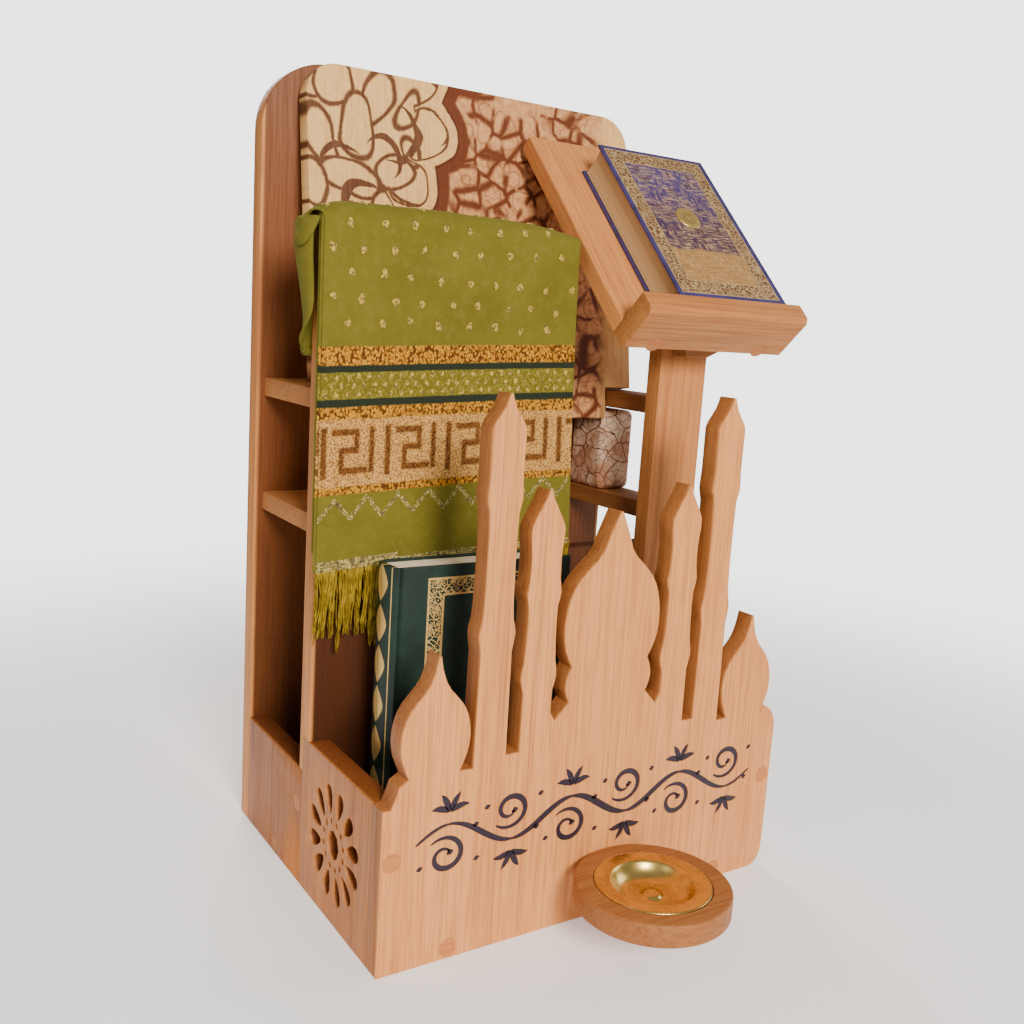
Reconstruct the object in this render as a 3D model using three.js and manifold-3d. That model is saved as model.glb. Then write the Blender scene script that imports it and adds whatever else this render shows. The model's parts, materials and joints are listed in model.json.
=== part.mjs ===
// Wooden prayer stand: a front panel cut as a row of domes and minarets, open side panels, a divider
// that carries a folded prayer rug, a reading desk on a post, a shelf for a dish, and what it holds.
// Millimetres, +Z up, front towards -Y, origin in the middle of the underside.
import * as THREE from 'three';
import { mergeVertices } from 'three/addons/utils/BufferGeometryUtils.js';
import Module from 'manifold-3d';

const wasm = await Module();
wasm.setup();

// Driving dimensions
const width = 393;
const depth = 303;
const board = 18; // thickness of the panels
const gap = 0.3; // clearance between pieces that touch
const sideFrontTop = 131.5;
const sideRearTop = 102;
const cornerBlockTop = 98;
const backTop = 692;
const backThickness = 19;
const backFront = depth - backThickness; // the face of the back board the shelves meet
const backCornerRadius = 60;
const dividerFront = 140; // from the front face
const dividerThickness = 18.5;
const dividerTallTop = 553;
const dividerLowTop = 280;
const dividerTallWidth = 232;
const dividerCornerRadius = 14;
const sideJoint = 152; // where the front and rear side panels meet, from the front face
const shelfInset = 7; // the shelf ends stand back from the outer side faces
const shelfThickness = 16;
const lowerShelfTop = 317;
const upperShelfTop = 419.5;
const leftShelfEnd = 113;
const rightShelfStart = 345;
const rightShelfEnd = 387;
const post = { start: 326, end: 382, front: 122 };
const desk = { start: 243, width: 184, lipY: 79, lipZ: 489.6, tilt: 45.5, length: 231, thickness: 15.7 };
const lip = { height: 34, thickness: 20, chamfer: 4 };
const cleat = { start: 339, end: 380, front: 104, bottom: 460.7, chamfer: 17, chamferHeight: 6 };
const holder = { x: 11, y: -61, radius: 62.3, top: 57.7, thickness: 18.7, screwHeight: 48 };
const dish = { rim: 46.5, bowl: 33, depth: 12, rimThickness: 2.4, wall: 1.6, seatPlay: 0.4, wellPlay: 2.6 };
const plug = { radius: 7.2, thickness: 4.6, bore: 8.2, inset: 9 };
const screw = { head: 4.2, rim: 0.6, shank: 2, headHeight: 3.2, length: 38, point: 4, tipClearance: 2.5 };
const rug = { start: -4, end: 238, thickness: 11, backThickness: 24, frontHem: 279, backHem: 428, fringe: 66,
  clearance: 0.6, round: 8 };
const tallBook = { start: 38, width: 170, back: 112, thickness: 33, height: 271 };
const quran = { start: 42, width: 127, length: 189, thickness: 33, cover: 2.2 };
const panel = { start: 30, end: 375, bottom: 392, frontAtFoot: 224, lean: 8.8, height: 271, corner: 30 };
const keepsakeBox = { start: 346, end: 386, front: 226, behind: 2, height: 82, radius: 8 };

// Places are given from the left face and the front face, and moved to the origin here
const left = -width / 2;
const front = -depth / 2;
const atX = (x) => left + x;
const atY = (y) => front + y;

const finishes = {
  wood: { color: 0xdeb28c, roughness: 0.6, metalness: 0 },
  plugWood: { color: 0xc99e78, roughness: 0.6, metalness: 0 },
  steel: { color: 0xb8bcc0, roughness: 0.35, metalness: 1 },
  brass: { color: 0xc9a24a, roughness: 0.25, metalness: 1 },
  rug: { color: 0x7e7a36, roughness: 0.95, metalness: 0 },
  greenLeather: { color: 0x102c26, roughness: 0.4, metalness: 0 },
  blueCover: { color: 0x443a6a, roughness: 0.4, metalness: 0 },
  paper: { color: 0xd8c8a8, roughness: 0.9, metalness: 0 },
  patternWood: { color: 0xe2c096, roughness: 0.6, metalness: 0 },
};

const stand = new THREE.Group();

function place(name, geometry, finish) {
  const mesh = new THREE.Mesh(geometry, new THREE.MeshStandardMaterial(finishes[finish]));
  mesh.name = name;
  stand.add(mesh);
  return mesh;
}

// Closed geometry to a solid and back
function toSolid(geometry) {
  const bare = geometry.clone();
  bare.deleteAttribute('normal');
  bare.deleteAttribute('uv');
  const merged = mergeVertices(bare, 1e-4);
  return new wasm.Manifold(new wasm.Mesh({
    numProp: 3,
    vertProperties: new Float32Array(merged.attributes.position.array),
    triVerts: new Uint32Array(merged.index.array),
  }));
}

function toGeometry(solid) {
  const mesh = solid.getMesh();
  const geometry = new THREE.BufferGeometry();
  geometry.setAttribute('position', new THREE.BufferAttribute(mesh.vertProperties, 3));
  geometry.setIndex(new THREE.BufferAttribute(mesh.triVerts, 1));
  geometry.computeVertexNormals();
  return geometry;
}

function cut(geometry, tools) {
  let solid = toSolid(geometry);
  for (const tool of tools) solid = solid.subtract(toSolid(tool));
  return toGeometry(solid);
}

function box(x0, x1, y0, y1, z0, z1) {
  const geometry = new THREE.BoxGeometry(x1 - x0, y1 - y0, z1 - z0);
  geometry.translate((x0 + x1) / 2, (y0 + y1) / 2, (z0 + z1) / 2);
  return geometry;
}

// An outline in x and z, standing as a board whose front face is at y
function standingBoard(shape, y, thickness, curveSegments = 2) {
  const geometry = new THREE.ExtrudeGeometry(shape, { depth: thickness, bevelEnabled: false, curveSegments });
  geometry.rotateX(Math.PI / 2);
  geometry.translate(0, y + thickness, 0);
  return geometry;
}

// An outline in y and z, standing as a board whose left face is at x
function sideBoard(shape, x, thickness, curveSegments = 4) {
  const geometry = new THREE.ExtrudeGeometry(shape, { depth: thickness, bevelEnabled: false, curveSegments });
  geometry.rotateX(Math.PI / 2);
  geometry.rotateZ(Math.PI / 2);
  geometry.translate(x, 0, 0);
  return geometry;
}

function rectangle(x0, y0, x1, y1) {
  return polygon([[x0, y0], [x1, y0], [x1, y1], [x0, y1]]);
}

function polygon(points) {
  return new THREE.Shape(points.map(([x, y]) => new THREE.Vector2(x, y)));
}

// A round tool or peg along a direction, starting at a point
function rod(point, direction, radius, length, sides) {
  const geometry = new THREE.CylinderGeometry(radius, radius, length, sides);
  geometry.translate(0, length / 2, 0);
  return aim(geometry, point, direction);
}

function aim(geometry, point, direction) {
  const turn = new THREE.Quaternion().setFromUnitVectors(new THREE.Vector3(0, 1, 0), direction);
  geometry.applyQuaternion(turn);
  geometry.translate(point.x, point.y, point.z);
  return geometry;
}

// Every screw sits under a wooden plug, except where its head is named as bare
const fixings = [];

function fixing(name, x, y, z, direction, hasPlug = true) {
  fixings.push({ name, point: new THREE.Vector3(x, y, z), direction: direction.clone().normalize(), hasPlug });
}

function fixingTools(names) {
  const tools = [];
  for (const { name, point, direction, hasPlug } of fixings) {
    if (!names.some((start) => name.startsWith(start))) continue;
    const outside = point.clone().addScaledVector(direction, -1);
    const mouth = hasPlug ? plug.radius : screw.head;
    tools.push(rod(outside, direction, mouth + gap, plug.bore + 1, hasPlug ? 16 : 8));
    tools.push(rod(outside, direction, screw.shank + gap, plug.thickness + screw.length + screw.tipClearance, 8));
  }
  return tools;
}

const intoFront = new THREE.Vector3(0, 1, 0);
const outOfFront = new THREE.Vector3(0, -1, 0);
const intoLeft = new THREE.Vector3(1, 0, 0);
const intoRight = new THREE.Vector3(-1, 0, 0);

const tilt = THREE.MathUtils.degToRad(desk.tilt);
const deskUp = new THREE.Vector3(0, Math.cos(tilt), Math.sin(tilt));
const deskOut = new THREE.Vector3(0, -Math.sin(tilt), Math.cos(tilt));
const deskOrigin = new THREE.Vector3(atX(desk.start), atY(desk.lipY), desk.lipZ);

// A point on the desk: across it, up its slope and out from its face
function onDesk(across, up, out) {
  return deskOrigin.clone().add(new THREE.Vector3(across, 0, 0)).addScaledVector(deskUp, up).addScaledVector(deskOut, out);
}

// Where the fixings stand, in from the edges and up from the underside
const frontFixings = { upper: { inset: plug.inset, z: 90 }, lower: { inset: 60, z: plug.inset } };
const sideFixings = [[162.5, 69], [212, plug.inset], [84, plug.inset], [58, plug.inset]];
const lipFixingInset = 30;
const postFixings = { x: 345, heights: [80, 240] };
const cleatFixing = { x: 354, z: 476 };

for (const [level, { inset, z }] of Object.entries(frontFixings)) {
  fixing(`front_left_${level}`, atX(inset), atY(0), z, intoFront);
  fixing(`front_right_${level}`, atX(width - inset), atY(0), z, intoFront);
}
for (const [side, x, direction] of [['left', 0, intoLeft], ['right', width, intoRight]]) {
  sideFixings.forEach(([y, z], index) => fixing(`${side}_${index + 1}`, atX(x), atY(y), z, direction));
}
[lipFixingInset, desk.width - lipFixingInset].forEach((across, index) => {
  const point = onDesk(across, -lip.thickness, -desk.thickness / 2);
  fixing(`lip_${index + 1}`, point.x, point.y, point.z, deskUp);
});
postFixings.heights.forEach((z, index) => {
  fixing(`post_${index + 1}`, atX(postFixings.x), atY(dividerFront + dividerThickness), z, outOfFront, false);
});
fixing('cleat_1', atX(cleatFixing.x), atY(cleat.front), cleatFixing.z, intoFront, false);
fixing('dish_holder', holder.x, atY(board), holder.screwHeight, outOfFront, false);

// ---- Body boards ----

function baseBoard() {
  const plate = box(atX(board + gap), atX(width - board - gap), atY(board + gap), atY(backFront - gap), 0, board);
  return cut(plate, fixingTools(['front_left_lower', 'front_right_lower', 'left_2', 'left_3', 'left_4',
    'right_2', 'right_3', 'right_4']));
}

// Half-widths of a minaret against height, from its foot to its tip
const tallMinaret = [[13.5, 240], [15.7, 255], [13, 268], [12, 300], [12.3, 343], [15, 355], [14, 372], [14.2, 398],
  [13.4, 409], [5, 421], [0.8, 432]];
const shortMinaret = [[13.2, 204], [16.2, 217], [13.8, 233], [12.8, 268], [15.5, 281], [13.8, 293], [13.4, 311],
  [15, 327], [13.6, 336], [4.6, 352], [0.8, 361]];
const smallDome = [[21, 152], [27, 167], [28.5, 181], [26, 195], [20, 206], [8.5, 219], [3, 232], [0.8, 243]];
const largeDome = [[38, 220], [45, 235], [47, 253], [44, 273], [35, 290], [16, 308], [10, 322], [1, 342]];
const tallMinaretAt = 108.7;
const shortMinaretAt = 68.8;
const smallDomeAt = 155.5;

// One half of the skyline, from the middle outwards, as runs of points joined by smooth curves
function skylineRuns(side) {
  const runs = [];
  const down = (profile) => [...profile].reverse();
  const outer = (profile, at) => down(profile).map(([half, z]) => [at + half, z]);
  const inner = (profile, at) => profile.map(([half, z]) => [at - half, z]);
  runs.push(outer(largeDome, 0), [[38, 220], [42, 210], [42, 200], [38.5, 191]], [[38.5, 191], [51, 178]]);
  runs.push([[51, 178], [shortMinaretAt - 13, 186]], inner(shortMinaret, shortMinaretAt));
  runs.push(outer(shortMinaret, shortMinaretAt), [[shortMinaretAt + 13.2, 204], [82.4, 157.5]]);
  runs.push([[82.4, 157.5], [94.6, 157.5]], [[94.6, 157.5], [tallMinaretAt - 13.5, 240]]);
  runs.push(inner(tallMinaret, tallMinaretAt), outer(tallMinaret, tallMinaretAt));
  runs.push([[tallMinaretAt + 13.5, 240], [123, 151.5]], [[123, 151.5], [smallDomeAt - 21, 152]]);
  runs.push(inner(smallDome, smallDomeAt), outer(smallDome, smallDomeAt));
  const edge = width / 2;
  if (side < 0) {
    runs.push([[smallDomeAt + 21, 152], [184, 147.5]], [[184, 147.5], [186, 141], [190, sideFrontTop]]);
    runs.push([[190, sideFrontTop], [edge, sideFrontTop]], [[edge, sideFrontTop], [edge, 0]]);
  } else {
    runs.push([[smallDomeAt + 21, 152], [180, 156.5]], [[180, 156.5], [187, 154], [193, 147.5], [edge, 138]]);
    runs.push([[edge, 138], [edge, 17]], [[edge, 17], [edge - 2, 8.5], [edge - 8.5, 2], [edge - 17, 0]]);
  }
  return runs;
}

function frontPanelShape() {
  const shape = new THREE.Shape();
  const follow = (run) => {
    if (run.length === 2) shape.lineTo(...run[1]);
    else shape.splineThru(run.slice(1).map(([x, z]) => new THREE.Vector2(x, z)));
  };
  const mirrored = skylineRuns(-1).map((run) => run.map(([x, z]) => [-x, z]).reverse()).reverse();
  shape.moveTo(-width / 2, 0);
  for (const run of mirrored) {
    shape.lineTo(...run[0]);
    follow(run);
  }
  for (const run of skylineRuns(1)) {
    shape.lineTo(...run[0]);
    follow(run);
  }
  shape.closePath();
  return shape;
}

function frontPanel() {
  const plate = standingBoard(frontPanelShape(), atY(0), board, 2);
  return cut(plate, fixingTools(['front_', 'dish_holder']));
}

// Twelve drop-shaped petals and twelve small holes round an oval, cut through the side panel
const rosette = { y: 84.6, z: 66.5, outer: 48.5, inner: 24.5, petalHalf: 6.8, holeRing: 19.4, hole: 2.6, oval: [11, 12.5] };

function rosetteHoles() {
  const holes = [];
  const turned = (radius, aside, angle) => new THREE.Vector2(
    atY(rosette.y) + radius * Math.sin(angle) + aside * Math.cos(angle),
    rosette.z + radius * Math.cos(angle) - aside * Math.sin(angle),
  );
  const petals = 12;
  const drop = [[0, 0], [0.06, 0.3], [0.32, 0.75], [0.64, 1], [0.88, 0.82], [0.98, 0.4], [1, 0]];
  for (let i = 0; i < petals; i += 1) {
    const angle = ((i + 0.5) / petals) * 2 * Math.PI;
    const points = [];
    for (const [along, aside] of drop) {
      points.push(turned(rosette.inner + along * (rosette.outer - rosette.inner), aside * rosette.petalHalf, angle));
    }
    for (const [along, aside] of drop.slice(1, -1).reverse()) {
      points.push(turned(rosette.inner + along * (rosette.outer - rosette.inner), -aside * rosette.petalHalf, angle));
    }
    holes.push(new THREE.Path(points));
    const small = turned(rosette.holeRing, 0, angle);
    holes.push(new THREE.Path().absarc(small.x, small.y, rosette.hole, 0, 2 * Math.PI, true));
  }
  const [halfY, halfZ] = rosette.oval;
  holes.push(new THREE.Path().absellipse(atY(rosette.y), rosette.z, halfY, halfZ, 0, 2 * Math.PI, true));
  return holes;
}

function sideFront(side) {
  const shape = rectangle(atY(board + gap), 0, atY(sideJoint - gap), sideFrontTop);
  shape.holes = rosetteHoles();
  const x = side === 'left' ? atX(0) : atX(width - board);
  return cut(sideBoard(shape, x, board), fixingTools([`front_${side}_upper`, `${side}_3`, `${side}_4`]));
}

function sideRear(side) {
  const shape = rectangle(atY(sideJoint), 0, atY(backFront - gap), sideRearTop);
  const x = side === 'left' ? atX(0) : atX(width - board);
  return cut(sideBoard(shape, x, board), fixingTools([`${side}_1`, `${side}_2`]));
}

function cornerBlock(side) {
  const y = dividerFront + dividerThickness + gap;
  const x = side === 'left' ? board + gap : width - board - gap - board;
  return cut(box(atX(x), atX(x + board), atY(y), atY(y + board), board + gap, cornerBlockTop),
    fixingTools([`${side}_1`]));
}

function dividerBoard() {
  const radius = dividerCornerRadius;
  const shape = new THREE.Shape();
  shape.moveTo(atX(0), board + gap);
  shape.lineTo(atX(width), board + gap);
  shape.lineTo(atX(width), dividerLowTop);
  shape.lineTo(atX(dividerTallWidth), dividerLowTop);
  shape.lineTo(atX(dividerTallWidth), dividerTallTop - radius);
  shape.absarc(atX(dividerTallWidth - radius), dividerTallTop - radius, radius, 0, Math.PI / 2, false);
  shape.absarc(atX(radius), dividerTallTop - radius, radius, Math.PI / 2, Math.PI, false);
  shape.closePath();
  const plate = standingBoard(shape, atY(dividerFront), dividerThickness, 4);
  const tools = fixingTools(['post_']);
  for (const x of [-1, width - board - gap]) {
    // The side panels fill both bottom corners, the front ones higher than the rear ones
    tools.push(box(atX(x), atX(x + board + gap + 1), atY(0), atY(sideJoint + gap), 0, sideFrontTop + gap));
    tools.push(box(atX(x), atX(x + board + gap + 1), atY(0), atY(depth), 0, sideRearTop + gap));
  }
  return cut(plate, tools);
}

function backBoard() {
  const radius = backCornerRadius;
  const shape = new THREE.Shape();
  shape.moveTo(atX(0), 0);
  shape.lineTo(atX(width), 0);
  shape.absarc(atX(width - radius), backTop - radius, radius, 0, Math.PI / 2, false);
  shape.absarc(atX(radius), backTop - radius, radius, Math.PI / 2, Math.PI, false);
  shape.closePath();
  return standingBoard(shape, atY(backFront), backThickness, 8);
}

function shelf(x0, x1, y0, top) {
  return box(atX(x0), atX(x1), atY(y0), atY(backFront - gap), top - shelfThickness, top);
}

place('base_board', baseBoard(), 'wood');
place('front_panel', frontPanel(), 'wood');
for (const side of ['left', 'right']) {
  place(`side_front_${side}`, sideFront(side), 'wood');
  place(`side_rear_${side}`, sideRear(side), 'wood');
  place(`corner_block_${side}`, cornerBlock(side), 'wood');
}
place('divider_board', dividerBoard(), 'wood');
place('back_board', backBoard(), 'wood');

const shelfFront = dividerFront + dividerThickness + gap;
place('shelf_left_lower', shelf(shelfInset, leftShelfEnd, shelfFront, lowerShelfTop), 'wood');
place('shelf_left_upper', shelf(shelfInset, leftShelfEnd, shelfFront, upperShelfTop), 'wood');
place('shelf_right_lower', shelf(rightShelfStart, rightShelfEnd, dividerFront + gap, lowerShelfTop), 'wood');
place('shelf_right_upper', shelf(rightShelfStart, rightShelfEnd, dividerFront + gap, upperShelfTop), 'wood');

// ---- Reading desk on its post ----

// Height of the desk board's underside at a distance from the front face
function undersideAt(y) {
  const foot = onDesk(0, 0, -desk.thickness);
  return foot.z + (atY(y) - foot.y) * Math.tan(tilt);
}

function postBoard() {
  const back = dividerFront - gap;
  const clear = gap / Math.cos(tilt);
  const shape = polygon([
    [atY(post.front), board + gap], [atY(back), board + gap],
    [atY(back), undersideAt(back) - clear], [atY(post.front), undersideAt(post.front) - clear],
  ]);
  // The foot is notched to pass the side panel
  const notch = box(atX(width - board - gap), atX(width), atY(0), atY(dividerFront), 0, sideFrontTop + gap);
  return cut(sideBoard(shape, atX(post.start), post.end - post.start), [notch, ...fixingTools(['post_', 'cleat_'])]);
}

function deskCleat() {
  const back = post.front - gap;
  const clear = gap / Math.cos(tilt);
  const shape = polygon([
    [atY(cleat.front), cleat.bottom], [atY(back), cleat.bottom],
    [atY(back), undersideAt(back) - clear], [atY(cleat.front), undersideAt(cleat.front) - clear],
  ]);
  const block = sideBoard(shape, atX(cleat.start), cleat.end - cleat.start);
  const corner = standingBoard(polygon([
    [atX(cleat.end - cleat.chamfer), cleat.bottom - 1], [atX(cleat.end + 1), cleat.bottom - 1],
    [atX(cleat.end + 1), cleat.bottom + cleat.chamferHeight], [atX(cleat.end), cleat.bottom + cleat.chamferHeight],
  ]), atY(cleat.front - 1), back - cleat.front + 2);
  return cut(block, [corner, ...fixingTools(['cleat_'])]);
}

// An outline in the desk's slope and thickness, carried across the desk
function deskProfile(points, across0, across1) {
  const shape = polygon(points.map(([up, out]) => {
    const point = onDesk(0, up, out);
    return [point.y, point.z];
  }));
  return sideBoard(shape, atX(desk.start + across0), across1 - across0);
}

function deskBoard() {
  const profile = [[gap, -desk.thickness], [desk.length, -desk.thickness], [desk.length, 0], [gap, 0]];
  return cut(deskProfile(profile, 0, desk.width), fixingTools(['lip_']));
}

function deskLip() {
  const { height, thickness, chamfer } = lip;
  const profile = [
    [-thickness, -desk.thickness + chamfer], [-thickness + chamfer, -desk.thickness], [0, -desk.thickness],
    [0, height], [-thickness + chamfer, height], [-thickness, height - chamfer],
  ];
  return cut(deskProfile(profile, 0, desk.width), fixingTools(['lip_']));
}

place('post', postBoard(), 'wood');
place('desk_cleat', deskCleat(), 'wood');
place('desk_board', deskBoard(), 'wood');
place('desk_lip', deskLip(), 'wood');

// ---- Dish and its round holder ----

function dishHolder() {
  const { x, radius, top, thickness } = holder;
  const y = atY(holder.y);
  const disc = new THREE.CylinderGeometry(radius, radius, thickness, 48);
  disc.rotateX(Math.PI / 2);
  disc.translate(x, y, top - thickness / 2);
  const bore = (reach, floor, height) => {
    const tool = new THREE.CylinderGeometry(reach, reach, height, 40);
    tool.rotateX(Math.PI / 2);
    tool.translate(x, y, floor + height / 2);
    return tool;
  };
  const seat = bore(dish.rim + dish.seatPlay, top - dish.rimThickness - 0.2, dish.rimThickness + 1);
  const well = bore(dish.bowl + dish.wellPlay, top - dish.depth - 4, dish.depth + 3);
  const flat = box(x - radius, x + radius, atY(0) - gap, atY(board), top - thickness - 1, top + 1);
  return cut(disc, [seat, well, flat, ...fixingTools(['dish_holder'])]);
}

// A shallow bowl with a broad flat rim and a small boss in the middle
function brassDish() {
  const { rim, bowl, depth: deep, rimThickness, wall } = dish;
  const profile = [
    [0, -deep + 3], [5, -deep + 3], [6.5, -deep + 0.6], [bowl - 15, -deep], [bowl - 6, -deep + 2.5], [bowl - 1.5, -4.5],
    [bowl, 0], [rim - 1, 0.6], [rim, -0.2], [rim, -rimThickness + 0.4], [bowl + 1.6, -rimThickness + 0.4],
    [bowl + 0.6, -5.2], [bowl - 4, -deep + 1], [bowl - 14, -deep - wall], [0, -deep - wall],
  ].map(([radius, z]) => new THREE.Vector2(radius, z));
  const geometry = new THREE.LatheGeometry([...profile].reverse(), 36);
  geometry.rotateX(Math.PI / 2);
  geometry.translate(holder.x, atY(holder.y), holder.top);
  return geometry;
}

place('dish_holder', dishHolder(), 'wood');
place('brass_dish', toGeometry(toSolid(brassDish())), 'brass');

// ---- Screws and the plugs over them ----

for (const { name, point, direction, hasPlug } of fixings) {
  const { head, rim, shank, headHeight, length, point: tip } = screw;
  const profile = [[0, 0], [head, 0], [head, rim], [shank, headHeight], [shank, length - tip], [0, length]]
    .map(([radius, z]) => new THREE.Vector2(radius, z));
  const start = point.clone().addScaledVector(direction, plug.thickness + gap);
  place(`screw_${name}`, toGeometry(toSolid(aim(new THREE.LatheGeometry(profile, 8), start, direction))), 'steel');
  if (hasPlug) place(`plug_${name}`, rod(point, direction, plug.radius, plug.thickness, 16), 'plugWood');
}

// ---- Prayer rug over the divider ----

function prayerRug() {
  const { clearance, round } = rug;
  const inFront = dividerFront - clearance;
  const behind = dividerFront + dividerThickness + clearance;
  const lower = dividerTallTop + clearance;
  const upper = lower + rug.thickness;
  const shape = new THREE.Shape();
  shape.moveTo(atY(inFront), rug.frontHem - rug.fringe);
  shape.lineTo(atY(inFront), lower);
  shape.lineTo(atY(behind), lower);
  shape.lineTo(atY(behind), rug.backHem);
  shape.lineTo(atY(behind + rug.backThickness), rug.backHem);
  shape.absarc(atY(behind + rug.backThickness - round), upper - round, round, 0, Math.PI / 2, false);
  shape.absarc(atY(inFront - rug.thickness + round), upper - round, round, Math.PI / 2, Math.PI, false);
  shape.lineTo(atY(inFront - rug.thickness), rug.frontHem - rug.fringe);
  shape.closePath();
  return sideBoard(shape, atX(rug.start), rug.end - rug.start);
}

place('prayer_rug', prayerRug(), 'rug');

// ---- Books ----

// A hard cover: two boards joined by a spine
function wrappedCover(x0, x1, y0, y1, z0, z1, thickness) {
  const shape = polygon([
    [x1, y0], [x1, y0 + thickness], [x0 + thickness, y0 + thickness], [x0 + thickness, y1 - thickness],
    [x1, y1 - thickness], [x1, y1], [x0, y1], [x0, y0],
  ]);
  const geometry = new THREE.ExtrudeGeometry(shape, { depth: z1 - z0, bevelEnabled: false });
  geometry.translate(0, 0, z0);
  return geometry;
}

function standingBook() {
  const { start, width: across, back, thickness, height } = tallBook;
  const coverThickness = 2.6;
  const margin = 4;
  const x0 = atX(start);
  const y0 = atY(back - thickness);
  const z0 = board + gap;
  const inner = coverThickness + gap;
  place('tall_book_cover', wrappedCover(x0, x0 + across, y0, atY(back), z0, z0 + height, coverThickness), 'greenLeather');
  place('tall_book_pages', box(x0 + inner, x0 + across - margin, y0 + inner, atY(back) - inner,
    z0 + margin, z0 + height - margin), 'paper');
}

// The holy book lies on the desk with its spine on the right and its front cover on a hinge there
function deskBook() {
  const { start, width: across, length, thickness, cover } = quran;
  const up0 = gap;
  const up1 = up0 + length;
  const margin = 3;
  const spine = start + across;
  const slab = (name, across0, across1, up, upEnd, out0, out1, finish) => place(name,
    deskProfile([[up, out0], [upEnd, out0], [upEnd, out1], [up, out1]], across0, across1), finish);
  slab('quran_front_cover', start, spine - cover - gap, up0, up1, thickness - cover, thickness, 'blueCover');
  slab('quran_pages', start + margin, spine - cover - gap, up0 + margin, up1 - margin, cover + 2 * gap,
    thickness - cover - gap, 'paper');
  const lower = deskProfile([[up0, gap], [up1, gap], [up1, cover + gap], [up0, cover + gap]], start, spine);
  const back = deskProfile([[up0, cover], [up1, cover], [up1, thickness], [up0, thickness]], spine - cover, spine);
  place('quran_case', toGeometry(toSolid(lower).add(toSolid(back))), 'blueCover');
}

standingBook();
deskBook();

// ---- Patterned board leaning on the back board, and a small patterned box ----

function patternedBoard() {
  const { start, end, bottom, frontAtFoot, lean, height, corner } = panel;
  const foot = upperShelfTop + gap + board * Math.sin(THREE.MathUtils.degToRad(lean));
  const shape = new THREE.Shape();
  shape.moveTo(atX(leftShelfEnd + 2), bottom - foot);
  shape.lineTo(atX(rightShelfStart - 2), bottom - foot);
  shape.lineTo(atX(rightShelfStart - 2), 0);
  shape.lineTo(atX(end), 0);
  shape.absarc(atX(end - corner), height - corner, corner, 0, Math.PI / 2, false);
  shape.absarc(atX(start + corner), height - corner, corner, Math.PI / 2, Math.PI, false);
  shape.lineTo(atX(start), 0);
  shape.lineTo(atX(leftShelfEnd + 2), 0);
  shape.closePath();
  const geometry = standingBoard(shape, 0, board, 6);
  geometry.rotateX(-THREE.MathUtils.degToRad(lean));
  geometry.translate(0, atY(frontAtFoot), foot);
  return geometry;
}

function smallBox() {
  const { start, end, front: near, height, radius } = keepsakeBox;
  const x0 = atX(start);
  const x1 = atX(end);
  const y0 = atY(near);
  const y1 = atY(backFront - keepsakeBox.behind);
  const shape = new THREE.Shape();
  shape.absarc(x1 - radius, y0 + radius, radius, -Math.PI / 2, 0, false);
  shape.absarc(x1 - radius, y1 - radius, radius, 0, Math.PI / 2, false);
  shape.absarc(x0 + radius, y1 - radius, radius, Math.PI / 2, Math.PI, false);
  shape.absarc(x0 + radius, y0 + radius, radius, Math.PI, 1.5 * Math.PI, false);
  shape.closePath();
  const geometry = new THREE.ExtrudeGeometry(shape, { depth: height, bevelEnabled: false, curveSegments: 4 });
  geometry.translate(0, 0, lowerShelfTop + gap);
  return geometry;
}

place('patterned_board', patternedBoard(), 'patternWood');
place('keepsake_box', smallBox(), 'patternWood');

export default stand;
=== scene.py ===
import json
import math
import random

import bmesh
import bpy
from mathutils import Matrix, Vector, noise


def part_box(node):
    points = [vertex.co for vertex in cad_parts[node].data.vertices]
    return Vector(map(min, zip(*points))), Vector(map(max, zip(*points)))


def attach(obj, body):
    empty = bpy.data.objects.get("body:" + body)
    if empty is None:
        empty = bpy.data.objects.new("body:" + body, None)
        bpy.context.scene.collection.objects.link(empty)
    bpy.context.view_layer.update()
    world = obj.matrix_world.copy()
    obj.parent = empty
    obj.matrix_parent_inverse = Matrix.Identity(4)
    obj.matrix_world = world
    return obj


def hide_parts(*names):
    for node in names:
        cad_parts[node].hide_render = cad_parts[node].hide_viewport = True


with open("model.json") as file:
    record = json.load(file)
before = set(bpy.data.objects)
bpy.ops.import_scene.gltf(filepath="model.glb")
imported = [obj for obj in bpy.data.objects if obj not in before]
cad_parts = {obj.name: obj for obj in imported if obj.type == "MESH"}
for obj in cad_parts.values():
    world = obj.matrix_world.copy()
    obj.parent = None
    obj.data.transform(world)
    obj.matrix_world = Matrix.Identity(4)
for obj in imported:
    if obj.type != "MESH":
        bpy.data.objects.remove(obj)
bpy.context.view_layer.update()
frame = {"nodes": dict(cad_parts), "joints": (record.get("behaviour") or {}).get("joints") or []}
nodes = frame["nodes"]
mm = 0.001
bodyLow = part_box("front_panel")[0]


def at(x, y, z):  # millimetres from the left face, the front face and the floor
    return Vector((bodyLow[0] + x * mm, bodyLow[1] + y * mm, z * mm))


def evenSteps(low, high, count):  # count values from low to high, both ends in
    return [low + (high - low) * i / (count - 1) for i in range(count)]


def tint(red, green, blue):  # screen colour, 0 to 255, as a linear one
    made = []
    for part in (red, green, blue):
        share = part / 255
        made.append(share / 12.92 if share <= 0.04045 else ((share + 0.055) / 1.055) ** 2.4)
    return (*made, 1)


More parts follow.
